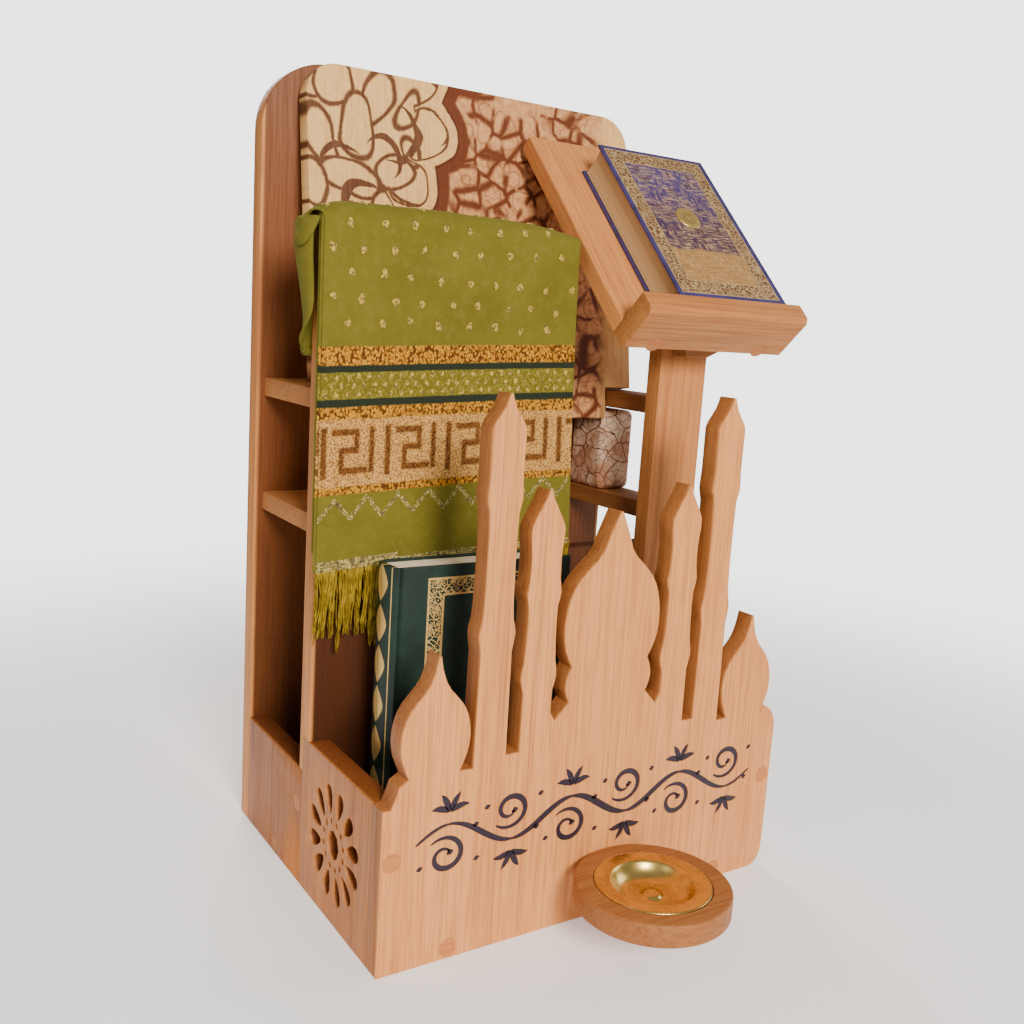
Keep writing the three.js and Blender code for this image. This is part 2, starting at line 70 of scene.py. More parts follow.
class Value:  # a shader socket that can be used in sums
    def __init__(self, look, socket):
        self.look = look
        self.socket = socket

    def sum(self, operation, first, second=0.0, third=0.0):
        return self.look.node("Math", {"operation": operation}, {0: first, 1: second, 2: third})

    def __add__(self, other):
        return self.sum("ADD", self, other)

    def __radd__(self, other):
        return self.sum("ADD", other, self)

    def __sub__(self, other):
        return self.sum("SUBTRACT", self, other)

    def __rsub__(self, other):
        return self.sum("SUBTRACT", other, self)

    def __mul__(self, other):
        return self.sum("MULTIPLY", self, other)

    def __rmul__(self, other):
        return self.sum("MULTIPLY", other, self)

    def __truediv__(self, other):
        return self.sum("DIVIDE", self, other)

    def __pow__(self, other):
        return self.sum("POWER", self, other)

    def __mod__(self, other):
        return self.sum("FLOORED_MODULO", self, other)

    def __abs__(self):
        return self.sum("ABSOLUTE", self)

    def least(self, other):
        return self.sum("MINIMUM", self, other)

    def most(self, other):
        return self.sum("MAXIMUM", self, other)

    def sine(self):
        return self.sum("SINE", self)

    def rise(self, low, high):  # 0 below low, 1 above high, smooth between
        return self.look.node("MapRange", {"interpolation_type": "SMOOTHSTEP"},
                              {"Value": self, "From Min": low, "From Max": high})

    def band(self, low, high, soft):  # 1 between low and high
        return self.rise(low - soft, low + soft) * (1 - self.rise(high - soft, high + soft))


class Look:  # a material and its nodes
    def __init__(self, name, settings=None):
        self.material = bpy.data.materials.new(name)
        self.material.use_nodes = True
        self.tree = self.material.node_tree
        self.shader = self.tree.nodes["Principled BSDF"]
        for key, value in (settings or {}).items():
            self.shader.inputs[key].default_value = value

    def node(self, kind, settings=None, sockets=None, out=0):
        made = self.tree.nodes.new("ShaderNode" + kind)
        for key, value in (settings or {}).items():
            setattr(made, key, value)
        for key, value in (sockets or {}).items():
            self.join(made.inputs[key], value)
        return Value(self, made.outputs[out])

    def join(self, socket, value):
        if isinstance(value, Value):
            self.tree.links.new(value.socket, socket)
        else:
            socket.default_value = value

    def angle(self, up, across):
        return self.node("Math", {"operation": "ARCTAN2"}, {0: up, 1: across})

    def mix(self, factor, first, second, blend="MIX"):
        settings = {"data_type": "RGBA", "blend_type": blend}
        return self.node("Mix", settings, {0: factor, 6: first, 7: second}, out=2)

    def vector(self, operation, first, second=(0.0, 0.0, 0.0), out=0):
        return self.node("VectorMath", {"operation": operation}, {0: first, 1: second}, out=out)

    def place(self):  # position in the model, in metres
        return self.node("TexCoord", out="Object")

    def parts(self, vector):
        split = self.tree.nodes.new("ShaderNodeSeparateXYZ")
        self.join(split.inputs[0], vector)
        return [Value(self, output) for output in split.outputs]

    def joined(self, x, y, z=0.0):
        return self.node("CombineXYZ", None, {0: x, 1: y, 2: z})

    def cloud(self, vector, scale, detail=2.0, roughness=0.5, warp=0.0):
        return self.node("TexNoise", None, {"Vector": vector, "Scale": scale, "Detail": detail,
                                            "Roughness": roughness, "Distortion": warp})

    def cells(self, vector, scale, feature="F1", out=0, spread=1.0):
        return self.node("TexVoronoi", {"feature": feature},
                         {"Vector": vector, "Scale": scale, "Randomness": spread}, out=out)

    def finish(self, colour, roughness, height=None, depth=0.0003, strength=0.6):
        if colour is not None:
            self.join(self.shader.inputs["Base Color"], colour)
        self.join(self.shader.inputs["Roughness"], roughness)
        if height is not None:
            bump = self.node("Bump", None, {"Height": height, "Strength": strength, "Distance": depth})
            self.join(self.shader.inputs["Normal"], bump)
        return self.material


woodTones = {
    "light": tint(226, 156, 90),
    "mid": tint(206, 132, 70),
    "line": tint(164, 90, 42),
    "pore": tint(122, 62, 26),
    "plug": tint(176, 100, 48),
    # inside and the deep tone under it: painted shade multiplied over the inner faces of the divider and back
    # board
    "inside": tint(152, 134, 116),
    "paintedDeepShade": tint(88, 72, 62),
    # the next two tones are painted shade, multiplied over the cut edges of the front panel and over the
    # edges and inner faces of the side boards
    "cut": tint(204, 192, 182),
    "openingShade": tint(176, 158, 142),
}
paintedShadeFaces = {  # board: heights between which the painted shade on its inner face goes from deep to lighter brown
    "divider_board": (0.14, 0.60),
    "back_board": (-0.12, 0.42),
}


def paintedShadeMask(look, board):  # where the painted shade falls: the broad faces of a board, not its edges
    low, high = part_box(board)
    edge, bare, reach = 1.0 * mm, 0.8 * mm, 4.5 * mm
    x, y, z = look.parts(look.place())
    mask = x.rise(low[0] + edge, low[0] + reach) * (1 - x.rise(high[0] - reach, high[0] - edge))
    if board == "back_board":
        mask = mask * (1 - y.rise(low[1] + bare, low[1] + reach))
    return mask, z


cutBoards = {  # boards whose cut edges and inner faces get painted shade: the axis of its thickness, and 1 or -1 where its outer face is the low or high one
    "front_panel": (1, 1), "side_front_left": (0, 1), "side_rear_left": (0, 1),
    "side_front_right": (0, -1), "side_rear_right": (0, -1),
}


def shadedCutMask(look, board):  # where painted shade falls: everything behind the outer face, sawn edges, openings and the inside
    axis, facing = cutBoards[board]
    low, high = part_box(board)
    across = look.parts(look.place())[axis]
    deep = across - low[axis] if facing > 0 else high[axis] - across
    return deep.rise(0.0008, 0.0028)


# grain along 0, 1 or 2: x, y or z
def woodLook(name, grain, seed, tone=1.0, blue=0.94, plug=False, tilt=0.0):
    look = Look(name, {"Specular IOR Level": 0.3, "Coat Weight": 0.05, "Coat Roughness": 0.4})
    random.seed(seed)
    shift = tuple(random.uniform(-5, 5) for _ in range(3))
    straight = look.place()
    if tilt:
        straight = look.node("Mapping", None, {"Vector": straight, "Rotation": (tilt, 0, 0)})
    moved = look.vector("ADD", straight, shift)

    def drawn(stretch):  # coordinates drawn out along the grain
        return look.vector("MULTIPLY", moved, tuple(stretch if i == grain else 1.0 for i in range(3)))

    figure = look.cloud(drawn(0.09), 24, 3, 0.5, 0.6).rise(0.3, 0.72)
    fine = look.cloud(drawn(0.025), 380, 3, 0.65, 0.2).rise(0.40, 0.66)
    pore = look.cloud(drawn(0.03), 1250, 2, 0.6).rise(0.54, 0.72)
    dash = 1 - look.cells(drawn(0.12), 420).rise(0.05, 0.15)
    streak = look.cloud(drawn(0.02), 70, 2, 0.5).rise(0.56, 0.72)
    colour = look.mix(figure * 0.42, woodTones["light"], woodTones["mid"])
    colour = look.mix(fine * 0.42 + streak * 0.22, colour, woodTones["line"])
    colour = look.mix(pore * 0.34 + dash * 0.18, colour, woodTones["pore"])
    if plug:
        colour = look.mix(0.6, colour, woodTones["plug"])
    colour = look.mix(1.0, colour, (tone, tone * (0.52 + 0.48 * blue), tone * blue, 1), "MULTIPLY")
    board = name.removesuffix("_wood")
    # painted shade: the inner faces darken, most towards the bottom
    if board in paintedShadeFaces:
        mask, z = paintedShadeMask(look, board)
        shade = look.mix(z.rise(*paintedShadeFaces[board]), woodTones["paintedDeepShade"], woodTones["inside"])
        colour = look.mix(mask, colour, look.mix(1.0, colour, shade, "MULTIPLY"))
    # painted shade on the cut edges and inner faces
    if board in cutBoards:
        shade = woodTones["cut" if board == "front_panel" else "openingShade"]
        colour = look.mix(shadedCutMask(look, board), colour, look.mix(1.0, colour, shade, "MULTIPLY"))
    height = 0.6 * (1 - pore) + 0.4 * (1 - fine) - 0.3 * dash
    return look.finish(colour, 0.5 + 0.12 * fine + 0.08 * pore, height, 0.00018, 0.5)


deskTilt = math.radians(45.5)
woodPieces = {  # node: grain direction, tone, share of blue, tilt of the grain; the low tones and blue shares of the side boards and shelves are painted shade
    "base_board": (0, 0.7, 0.94, 0),
    "front_panel": (2, 1.0, 0.94, 0),
    "side_front_left": (2, 0.77, 0.68, 0),
    "side_front_right": (2, 0.77, 0.68, 0),
    "side_rear_left": (2, 0.58, 0.60, 0),
    "side_rear_right": (2, 0.58, 0.60, 0),
    "corner_block_left": (2, 0.7, 0.85, 0),
    "corner_block_right": (2, 0.7, 0.85, 0),
    "divider_board": (2, 0.90, 0.86, 0),
    "back_board": (2, 0.92, 0.86, 0),
    "shelf_left_lower": (0, 0.8, 0.86, 0),
    "shelf_left_upper": (0, 0.8, 0.86, 0),
    "shelf_right_lower": (1, 0.5, 0.86, 0),
    "shelf_right_upper": (1, 0.5, 0.86, 0),
    "post": (2, 0.78, 0.84, 0),
    "desk_cleat": (0, 0.68, 0.9, 0),
    "desk_board": (1, 0.92, 0.88, -deskTilt),
    "desk_lip": (0, 0.70, 0.82, -deskTilt),
}
easedEdge = {"width": 0.9 * mm, "segments": 3, "angle": math.radians(34)}


def easeEdges(piece, width=easedEdge["width"]):  # soft corners, the shape itself stays
    weld = piece.modifiers.new("weld", "WELD")
    weld.merge_threshold = 0.00001
    flat = piece.modifiers.new("flat", "DECIMATE")
    flat.decimate_type = "DISSOLVE"
    flat.angle_limit = math.radians(0.4)
    bevel = piece.modifiers.new("eased", "BEVEL")
    bevel.width = width
    bevel.segments = easedEdge["segments"]
    bevel.limit_method = "ANGLE"
    bevel.angle_limit = easedEdge["angle"]
    bevel.harden_normals = True
    for polygon in piece.data.polygons:
        polygon.use_smooth = True


def paint(piece, material):
    if piece.data.materials:
        piece.data.materials[0] = material
    else:
        piece.data.materials.append(material)


for index, (name, (grain, tone, blue, tilt)) in enumerate(woodPieces.items()):
    paint(nodes[name], woodLook(name + "_wood", grain, 11 + index, tone, blue, tilt=tilt))
    easeEdges(nodes[name])
print("boards finished")


def newPiece(name, points, faces, material, smooth=True):
    mesh = bpy.data.meshes.new(name)
    mesh.from_pydata([tuple(point) for point in points], [], faces)
    mesh.validate()
    mesh.update()
    piece = bpy.data.objects.new(name, mesh)
    bpy.context.scene.collection.objects.link(piece)
    mesh.materials.append(material)
    for polygon in mesh.polygons:
        polygon.use_smooth = smooth
    return piece


def fit(piece, body, slotName, *replaced):  # the piece rides on a body and stands for CAD nodes
    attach(piece, body)
    if replaced:
        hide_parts(*replaced)
    return piece


def lathe(profile, sides):  # (radius, height) pairs that start and end on the axis
    points = []
    faces = []
    ring = len(profile) - 2
    points.append(Vector((0, 0, profile[0][1])))
    for side in range(sides):
        angle = 2 * math.pi * side / sides
        for radius, height in profile[1:-1]:
            points.append(Vector((radius * math.cos(angle), radius * math.sin(angle), height)))
    points.append(Vector((0, 0, profile[-1][1])))
    last = len(points) - 1
    for side in range(sides):
        here = 1 + side * ring
        there = 1 + ((side + 1) % sides) * ring
        faces.append((0, there, here))
        for step in range(ring - 1):
            faces.append((here + step, there + step, there + step + 1, here + step + 1))
        faces.append((here + ring - 1, there + ring - 1, last))
    return points, faces


def sharpen(piece, degrees=35):
    piece.data.set_sharp_from_angle(angle=math.radians(degrees))


# plugs: side-grain discs sanded flush with the board
plugSize = {"radius": 7.45 * mm, "thickness": 4.6 * mm, "proud": 0.06 * mm, "round": 0.3 * mm}
joints = {joint["name"]: joint for joint in frame["joints"]}
deskUp = Vector(joints["quran_cover_hinge"]["axis"]).normalized()
deskOut = Vector((1, 0, 0)).cross(deskUp)


def plugPiece(name, inward):
    low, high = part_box(name)
    middle = (Vector(low) + Vector(high)) / 2
    radius = plugSize["radius"]
    top = plugSize["thickness"] / 2 + plugSize["proud"]
    rounding = plugSize["round"]
    under = -plugSize["thickness"] / 2
    profile = [(0, under), (radius, under), (radius, top - rounding), (radius - rounding, top), (0, top)]
    points, faces = lathe(profile, 48)
    turn = inward.to_track_quat("-Z", "Y").to_matrix()
    placed = [turn @ point + middle for point in points]
    piece = newPiece(name + "_disc", placed, faces, plugLooks[len(name) % len(plugLooks)])
    sharpen(piece)
    fit(piece, "stand", "plug_wood", name)


plugLooks = [woodLook("plug_wood_" + str(i), 0, 90 + i, 0.97, plug=True) for i in range(3)]
for name in [name for name in nodes if name.startswith("plug_")]:
    inward = Vector((0, 1, 0))
    if "lip" in name:
        inward = deskUp
    elif "front" not in name and "_left_" in name:
        inward = Vector((1, 0, 0))
    elif "front" not in name and "_right_" in name:
        inward = Vector((-1, 0, 0))
    plugPiece(name, inward)
print("plugs finished")

steel = Look("screw_steel", {"Metallic": 1.0, "Base Color": tint(180, 182, 186)})
steelGrain = steel.cloud(steel.place(), 900, 2)
steelLook = steel.finish(None, 0.28 + 0.16 * steelGrain, steelGrain, 0.00005)
for name in [name for name in nodes if name.startswith("screw_")]:
    paint(nodes[name], steelLook)


# scroll ornament sunk into the front panel: a wavy vine with curls, leaves and berries
vine = {
    "start": 28, "end": 366, "middle": 99, "sway": 12, "halves": 6, "width": 6.0, "steps": 151,
    "depth": 2.0, "fill": 0.9, "over": 1.0,
}
vineCurl = {
    "aside": -3, "off": 13, "radius": 17.5, "squash": 0.9, "shrink": 0.74, "first": -0.75, "turns": 1.3,
    "steps": 52, "thin": 1.6, "swell": 3.4, "end": (((-2.6, -1), (0.4, 0.6), (3.2, 1)), (2.0, 5.6, 2.0)),
}
vineLeaves = {
    "off": 7, "root": 3, "squash": 0.86, "steps": 14, "thin": 0.7, "swell": 4.8,
    "fan": ((-0.95, 15), (-0.32, 19), (0.32, 19), (0.95, 15)),  # lean and length of each leaf
}
vineBerries = {
    "places": ((-24, 19), (25, 21), (23, -7)),
    "stroke": (((-2.4, -1.0), (0, 0), (2.4, 1.0)), (1.8, 4.6, 1.8)),
}


def ribbon(points, widths):  # flat outline of a stroke, in x and z
    left = []
    right = []
    count = len(points)
    for i, (here, width) in enumerate(zip(points, widths)):
        ahead = points[min(i + 1, count - 1)]
        behind = points[max(i - 1, 0)]
        direction = (ahead - behind).normalized()
        aside = Vector((-direction.y, direction.x)) * width / 2
        left.append(here + aside)
        right.append(here - aside)
    return left, right


def strokeSolid(points, widths, near, far):  # a closed bar that follows the stroke from depth near to far
    left, right = ribbon(points, widths)
    made = []
    for a, b in zip(left, right):
        for flat in (a, b):
            for depth in (near, far):
                made.append(at(flat.x, depth, flat.y))
    faces = []
    for i in range(len(left) - 1):
        k = 4 * i
        faces.append((k, k + 4, k + 6, k + 2))
        faces.append((k + 1, k + 3, k + 7, k + 5))
        faces.append((k, k + 1, k + 5, k + 4))
        faces.append((k + 2, k + 6, k + 7, k + 3))
    last = 4 * (len(left) - 1)
    faces.append((0, 2, 3, 1))
    faces.append((last, last + 1, last + 3, last + 2))
    return made, faces


def stemStroke():
    span = vine["end"] - vine["start"]
    points = []
    widths = []
    for share in evenSteps(0, 1, vine["steps"]):
        turn = share * vine["halves"] * math.pi
        x = vine["start"] + span * share
        points.append(Vector((x, vine["middle"] + vine["sway"] * math.sin(turn))))
        swell = math.sin(math.pi * share) ** 0.4 * abs(math.cos(turn)) ** 0.5
        widths.append(vine["width"] * (0.25 + 0.75 * swell))
    return points, widths


def curlStroke(x, side):
    centre = Vector((x + vineCurl["aside"], vine["middle"] + side * vineCurl["off"]))
    points = []
    widths = []
    for share in evenSteps(0, 1, vineCurl["steps"]):
        angle = side * math.pi * (vineCurl["first"] + share * vineCurl["turns"] * 2)
        radius = vineCurl["radius"] * (1 - vineCurl["shrink"] * share)
        points.append(centre + Vector((math.cos(angle), math.sin(angle) * vineCurl["squash"])) * radius)
        widths.append(vineCurl["thin"] + vineCurl["swell"] * math.sin(math.pi * share ** 0.75))
    return points, widths


def leafStroke(crown, side, lean, length):
    points = []
    widths = []
    for share in evenSteps(0, 1, vineLeaves["steps"]):
        bend = lean * (0.5 + 0.7 * share)
        reach = vineLeaves["root"] + length * share
        points.append(crown + Vector((math.sin(bend), -side * math.cos(bend) * vineLeaves["squash"])) * reach)
        belly = max(0.0, math.sin(math.pi * min(1.0, share * 1.02)))
        widths.append(vineLeaves["thin"] + vineLeaves["swell"] * belly ** 0.8)
    return points, widths


def dab(place, steps, widths):  # a short brush mark
    return [place + Vector(step) for step in steps], widths


def vineStrokes():
    span = vine["end"] - vine["start"]
    strokes = [stemStroke()]
    for half in range(vine["halves"]):
        side = 1 if half % 2 else -1  # a curl fills the hollow of each bend, a spray crowns its back
        x = vine["start"] + span * (half + 0.5) / vine["halves"]
        spiral = curlStroke(x, side)
        strokes.append(spiral)
        strokes.append(dab(spiral[0][-1], *vineCurl["end"]))
        crown = Vector((x, vine["middle"] - side * (vine["sway"] + vineLeaves["off"])))
        strokes += [leafStroke(crown, side, lean, length) for lean, length in vineLeaves["fan"]]
        for along, off in vineBerries["places"]:
            strokes.append(dab(Vector((x + along, vine["middle"] + side * off)), *vineBerries["stroke"]))
    return strokes


def outwards(piece):  # faces point out
    work = bmesh.new()
    work.from_mesh(piece.data)
    bmesh.ops.recalc_face_normals(work, faces=work.faces)
    work.to_mesh(piece.data)
    work.free()


def gather(solids):
    points = []
    faces = []
    for made, sides in solids:
        base = len(points)
        points.extend(made)
        faces.extend([tuple(base + i for i in side) for side in sides])
    return points, faces


inlay = Look("inlay_navy", {"Specular IOR Level": 0.4})
inlayGrain = inlay.cloud(inlay.vector("MULTIPLY", inlay.place(), (1, 1, 0.1)), 700, 3)
inlayTone = inlay.mix(inlayGrain, tint(26, 18, 34), tint(50, 36, 52))
inlayLook = inlay.finish(inlayTone, 0.42 + 0.2 * inlayGrain, inlayGrain, 0.0001)


def vinePiece(name, near, far):
    solids = [strokeSolid(points, widths, near, far) for points, widths in vineStrokes()]
    piece = newPiece(name, *gather(solids), inlayLook, False)
    outwards(piece)
    return piece


grooves = vinePiece("vine_cutter", -vine["over"], vine["depth"])
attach(grooves, "stand")
grooves.hide_render = True
carve = nodes["front_panel"].modifiers.new("carved", "BOOLEAN")
carve.object = grooves
carve.operation = "DIFFERENCE"
carve.solver = "EXACT"
carve.use_self = True  # strokes cross one another
fit(vinePiece("vine_inlay", vine["fill"], vine["depth"] + 0.2), "stand", "beech")
print("ornament carved")


# round holder with a seat, and the spun dish in it
holder = {"x": 11, "y": -61, "radius": 62.3, "top": 57.7, "thickness": 18.7, "round": 2.2, "sides": 160}
dish = {"rim": 46.5, "bowl": 33.0, "deep": 12.0, "lip": 2.4}
holderMiddle = Vector((holder["x"] * mm, at(0, holder["y"], 0).y, holder["top"] * mm))


def dishHolder():
    radius, low, rounding = holder["radius"], -holder["thickness"], holder["round"]
    seat, well = dish["rim"] + 0.4, dish["bowl"] + 2.6
    seatDeep, wellDeep = -dish["lip"] - 0.2, -dish["deep"] - 4
    profile = [(0, low), (radius - rounding, low)]
    profile += [(radius - rounding + rounding * math.sin(t), low + rounding - rounding * math.cos(t))
                for t in evenSteps(0.3, math.pi / 2, 5)]
    profile += [(radius - rounding + rounding * math.cos(t), -rounding + rounding * math.sin(t))
                for t in evenSteps(0, math.pi / 2, 6)]
    profile += [(seat + 0.5, 0), (seat, -0.5), (seat, seatDeep)]
    profile += [(well, seatDeep), (well, wellDeep), (0, wellDeep)]
    points, faces = lathe(profile, holder["sides"])
    back = -holder["y"] - 0.3  # flat where it meets the panel
    made = [Vector((p.x, min(p.y, back), p.z)) * mm + holderMiddle for p in points]
    piece = newPiece("dish_holder_turned", made, faces, woodLook("holder_wood", 0, 57, 0.46, 0.74))
    sharpen(piece, 40)
    fit(piece, "stand", "beech", "dish_holder")


def brassDish():
    rim, bowl, deep, lip = dish["rim"], dish["bowl"], dish["deep"], dish["lip"]
    inside = [(0, -deep + 2.6), (3.2, -deep + 2.4), (5.2, -deep + 2.9), (6.6, -deep + 2.2),
              (7.6, -deep + 0.7), (10, -deep + 0.1), (16, -deep), (21, -deep + 0.5),
              (25.5, -deep + 2.0), (29, -deep + 5.0),
              (31.4, -deep + 8.6), (bowl, -0.6), (bowl + 1.2, 0.1), (bowl + 3, 0.3), (rim - 3, 0.55),
              (rim - 1.2, 0.6), (rim - 0.3, 0.3), (rim, -0.3)]
    under = [(rim, -lip + 0.6), (rim - 0.6, -lip + 0.4), (bowl + 1.8, -lip + 0.4), (bowl + 0.4, -6.5),
             (27, -deep + 0.4), (20, -deep - 1.4), (0, -deep - 1.6)]
    points, faces = lathe(list(reversed(inside + under)), 120)
    look = Look("dish_brass", {"Metallic": 1.0})
    x, y, z = look.parts(look.vector("SUBTRACT", look.place(), tuple(holderMiddle)))
    radius = (x * x + y * y) ** 0.5
    turned = look.cloud(look.joined(radius, 0.0, z), 1400, 2)
    stain = look.cloud(look.place(), 60, 4, 0.6)
    colour = look.mix(stain.rise(0.35, 0.75) * 0.5, tint(216, 184, 104), tint(158, 124, 56))
    material = look.finish(colour, 0.17 + 0.14 * stain + 0.07 * turned, turned, 0.00003, 0.5)
    piece = newPiece("brass_dish_spun", [p * mm + holderMiddle for p in points], faces, material)
    bend = piece.modifiers.new("smooth", "SUBSURF")
    bend.levels = 1
    bend.render_levels = 1
    fit(piece, "dish", "brass", "brass_dish")


dishHolder()
brassDish()
print("dish finished")


# prayer rug: folded in three across, doubled over the divider, and turned up behind it
rug = {
    "left": -4.5, "across": 234.5, "pitch": 1.7, "thick": 1.25, "gap": 0.2, "hem": 279.0, "backHem": 440.0,
    "front": 139.4, "back": 159.1, "top": 553.6, "corner": 4.0, "rise": 11.0, "puff": 1.1,
    "cut": (0.70, 1.10),
}
rugShoulder = {  # the curl of the outer layer round the left end of the board
    "from": 22.0, "spread": 36.0, "spreadFoot": 25.0, "deep": 28.0, "turn": 2.27, "turnFoot": 1.85,
    "tuck": 0.2,
}
rugDrape = {
    "fall": 280, "rightFlare": 5.5, "leftFlare": 2.2, "drift": 6.0, "backWave": 1.4, "turnWave": 3.0,
    "swell": 1.6, "rightFall": 7.2, "leftFall": 3.0,
}
rugRows = {"drop": 96, "bend": 9, "flat": 6, "back": 36, "turn": 14, "hidden": 30}
rugFolds = {"shown": 84, "turn": 6, "hidden": 20}


def rugPath():  # (kind, share along it) for every row, from the front hem to the inner end
    rows = []
    for kind, key in (("drop", "drop"), ("bendFront", "bend"), ("flat", "flat"), ("bendBack", "bend"),
                      ("back", "back"), ("turn", "turn"), ("backUp", "back"), ("bendBackIn", "bend"),
                      ("flatIn", "flat"), ("bendFrontIn", "bend"), ("dropIn", "hidden")):
        count = rugRows[key]
        rows += [(kind, i / count) for i in range(count)]
    return rows


def hemAt(x):  # the rug hangs a little askew
    return rug["hem"] + rug["rise"] * clamped(x / rug["across"])


def rugRow(kind, share, x, layer):  # y, z, outward direction and cloth length from the hem
    stack = 5 * rug["pitch"]
    outer = rug["thick"] / 2 + rug["gap"] + stack - layer
    inner = rug["thick"] / 2 + rug["gap"] + layer
    corner = rug["corner"]
    top = rug["top"]
    middle = outer if kind in ("drop", "bendFront", "flat", "bendBack", "back") else inner
    down = share if kind == "back" else 1 - share if kind == "backUp" else 0.0
    bulge = 1 + rug["puff"] * math.sin(math.pi * down ** 0.42)
    length = top - hemAt(x)
    if kind == "drop":
        return rug["front"] - middle, hemAt(x) + (length - corner) * share, (-1, 0), (length - corner) * share
    if kind == "dropIn":
        return rug["front"] - middle, top - corner - (length - corner - 6) * share, (-1, 0), 700
    if kind in ("bendFront", "bendFrontIn"):
        angle = math.pi / 2 * (share if kind == "bendFront" else 1 - share)
        radius = corner + middle
        y = rug["front"] + corner - radius * math.cos(angle)
        z = top - corner + radius * math.sin(angle)
        return y, z, (-math.cos(angle), math.sin(angle)), length + 8 * share
    if kind in ("flat", "flatIn"):
        along = share if kind == "flat" else 1 - share
        y = rug["front"] + corner + (rug["back"] - rug["front"] - 2 * corner) * along
        return y, top + middle, (0, 1), length + 8 + 12 * along
    if kind in ("bendBack", "bendBackIn"):
        angle = math.pi / 2 * (share if kind == "bendBack" else 1 - share)
        radius = corner + middle
        y = rug["back"] - corner + radius * math.sin(angle)
        z = top - corner + radius * math.cos(angle)
        return y, z, (math.sin(angle), math.cos(angle)), length + 20 + 8 * share
    drop = top - corner - rug["backHem"] - 12
    if kind == "back":
        return rug["back"] + middle * bulge, top - corner - drop * share, (1, 0), length + 28 + drop * share
    if kind == "backUp":
        return rug["back"] + middle * bulge, rug["backHem"] + 12 + drop * share, (1, 0), 520
    reach = stack / 2 - layer
    centre = rug["back"] + rug["thick"] / 2 + rug["gap"] + stack / 2
    angle = math.pi * share
    y = centre + reach * math.cos(angle)
    z = rug["backHem"] + 12 - reach * math.sin(angle)
    return y, z, (math.cos(angle), -math.sin(angle)), length + 28 + drop + 10 * share


def rugColumns():  # (x, layer offset, cloth distance across) for every column
    pitch, across = rug["pitch"], rug["across"]
    radius = pitch / 2
    shown, turn, hidden = rugFolds["shown"], rugFolds["turn"], rugFolds["hidden"]
    columns = [(across * i / shown, 0.0, across * i / shown) for i in range(shown)]
    for i in range(turn):
        angle = math.pi * i / turn
        layer = radius * (1 - math.cos(angle))
        columns.append((across + radius * math.sin(angle), layer, across + radius * angle))
    columns += [(across * (1 - i / hidden), pitch, across + across * i / hidden) for i in range(hidden)]
    for i in range(turn):
        angle = math.pi * i / turn
        layer = pitch + radius * (1 - math.cos(angle))
        columns.append((-radius * math.sin(angle), layer, 2 * across + radius * angle))
    for i in range(hidden + 1):
        share = i / hidden
        columns.append(((across - 4) * share, 2 * pitch, 2 * across + across * share))
    return columns


def ripple(x, z, seed):
    return noise.noise(Vector((x, z, seed)))


def clamped(share):
    return max(0.0, min(1.0, share))


def rugPoint(kind, share, x, layer):  # a point, its outward side and the cloth length from the hem
    y, z, out, along = rugRow(kind, share, x, layer)
    side = x / rug["across"]
    height = z
    if kind in ("drop", "dropIn"):  # hangs loose, more so low down and at the right edge
        low = clamped((rug["top"] - z) / rugDrape["fall"])
        wave = ripple(x * 0.011, z * 0.004, 1.3) * 0.9 + ripple(x * 0.03, z * 0.012, 7.1) * 0.35
        loose = low * (2.6 + 2.4 * wave)
        loose += rugDrape["rightFlare"] * low ** 2 * side ** 3 + rugDrape["leftFlare"] * low * (1 - side) ** 4
        height += low * (1.5 * math.sin(side * 2.6) - 1.0)
        x += low ** 1.6 * rugDrape["drift"] * side ** 2
    elif kind in ("back", "backUp", "turn"):
        loose = rugDrape["backWave"] * (1 + ripple(x * 0.02, z * 0.02, 4.2))
        x += 2 * side ** 6
        if kind == "turn":
            height += rugDrape["turnWave"] * ripple(x * 0.02, 3.0, 2.0)
    else:  # over the top: a soft swell that falls off towards both ends
        inset = 0
        if "bendFront" in kind:
            inset = y - rug["front"]
        elif "bendBack" in kind:
            inset = rug["back"] - y
        lift = max(0.0, z - rug["top"]) / 10
        loose = 0.5 + 0.7 * ripple(x * 0.025, y * 0.05, 9.0) + 0.02 * min(0, inset)
        loose += rugDrape["swell"] * lift * max(0.0, math.sin(math.pi * clamped(side))) ** 0.5
        loose -= lift * (rugDrape["rightFall"] * abs(side) ** 9 + rugDrape["leftFall"] * abs(1 - side) ** 14)
    point = at(rug["left"] + x, y + out[0] * loose, height + out[1] * loose)
    return wrapLeft(kind, share, x, layer, point, out, along)


# the outer layer curls round the left end of the board
def wrapLeft(kind, share, x, layer, point, out, along):
    side = Vector((0, out[0], out[1]))
    curl = {"bendFront": 0.5 * share, "flat": 0.5 + 0.25 * share, "bendBack": 0.75 + 0.25 * share,
            "back": 1 - share ** 8, "backUp": 1 - (1 - share) ** 8, "bendBackIn": 1.0,
            "flatIn": 1 - share}.get(kind, 0.0)
    start = rugShoulder["from"]
    inward = max(0.0, start - x)
    if curl < 0.01 or not inward:
        return point, side, along
    if layer or kind in ("backUp", "bendBackIn", "flatIn"):  # the others stop short inside the curl
        return point + Vector((inward * rugShoulder["tuck"] * curl * mm, 0, 0)), side, along
    down = share if kind == "back" else 0.0
    turn = rugShoulder["turn"] * (1 - down) + rugShoulder["turnFoot"] * down
    spread = rugShoulder["spread"] * (1 - down) + rugShoulder["spreadFoot"] * down
    cloth = start + (spread * turn - start) * curl ** 1.5
    angle = turn * curl * inward / start
    bow = inward - cloth * math.sin(angle) / (turn * curl)
    creases = 1 + 0.10 * ripple(angle * 0.8, along * 0.035, 2.2)
    forward = rugShoulder["deep"] * creases * (1 - math.cos(angle)) * mm
    return point + Vector((bow, 0, 0)) * mm - side * forward, side, along


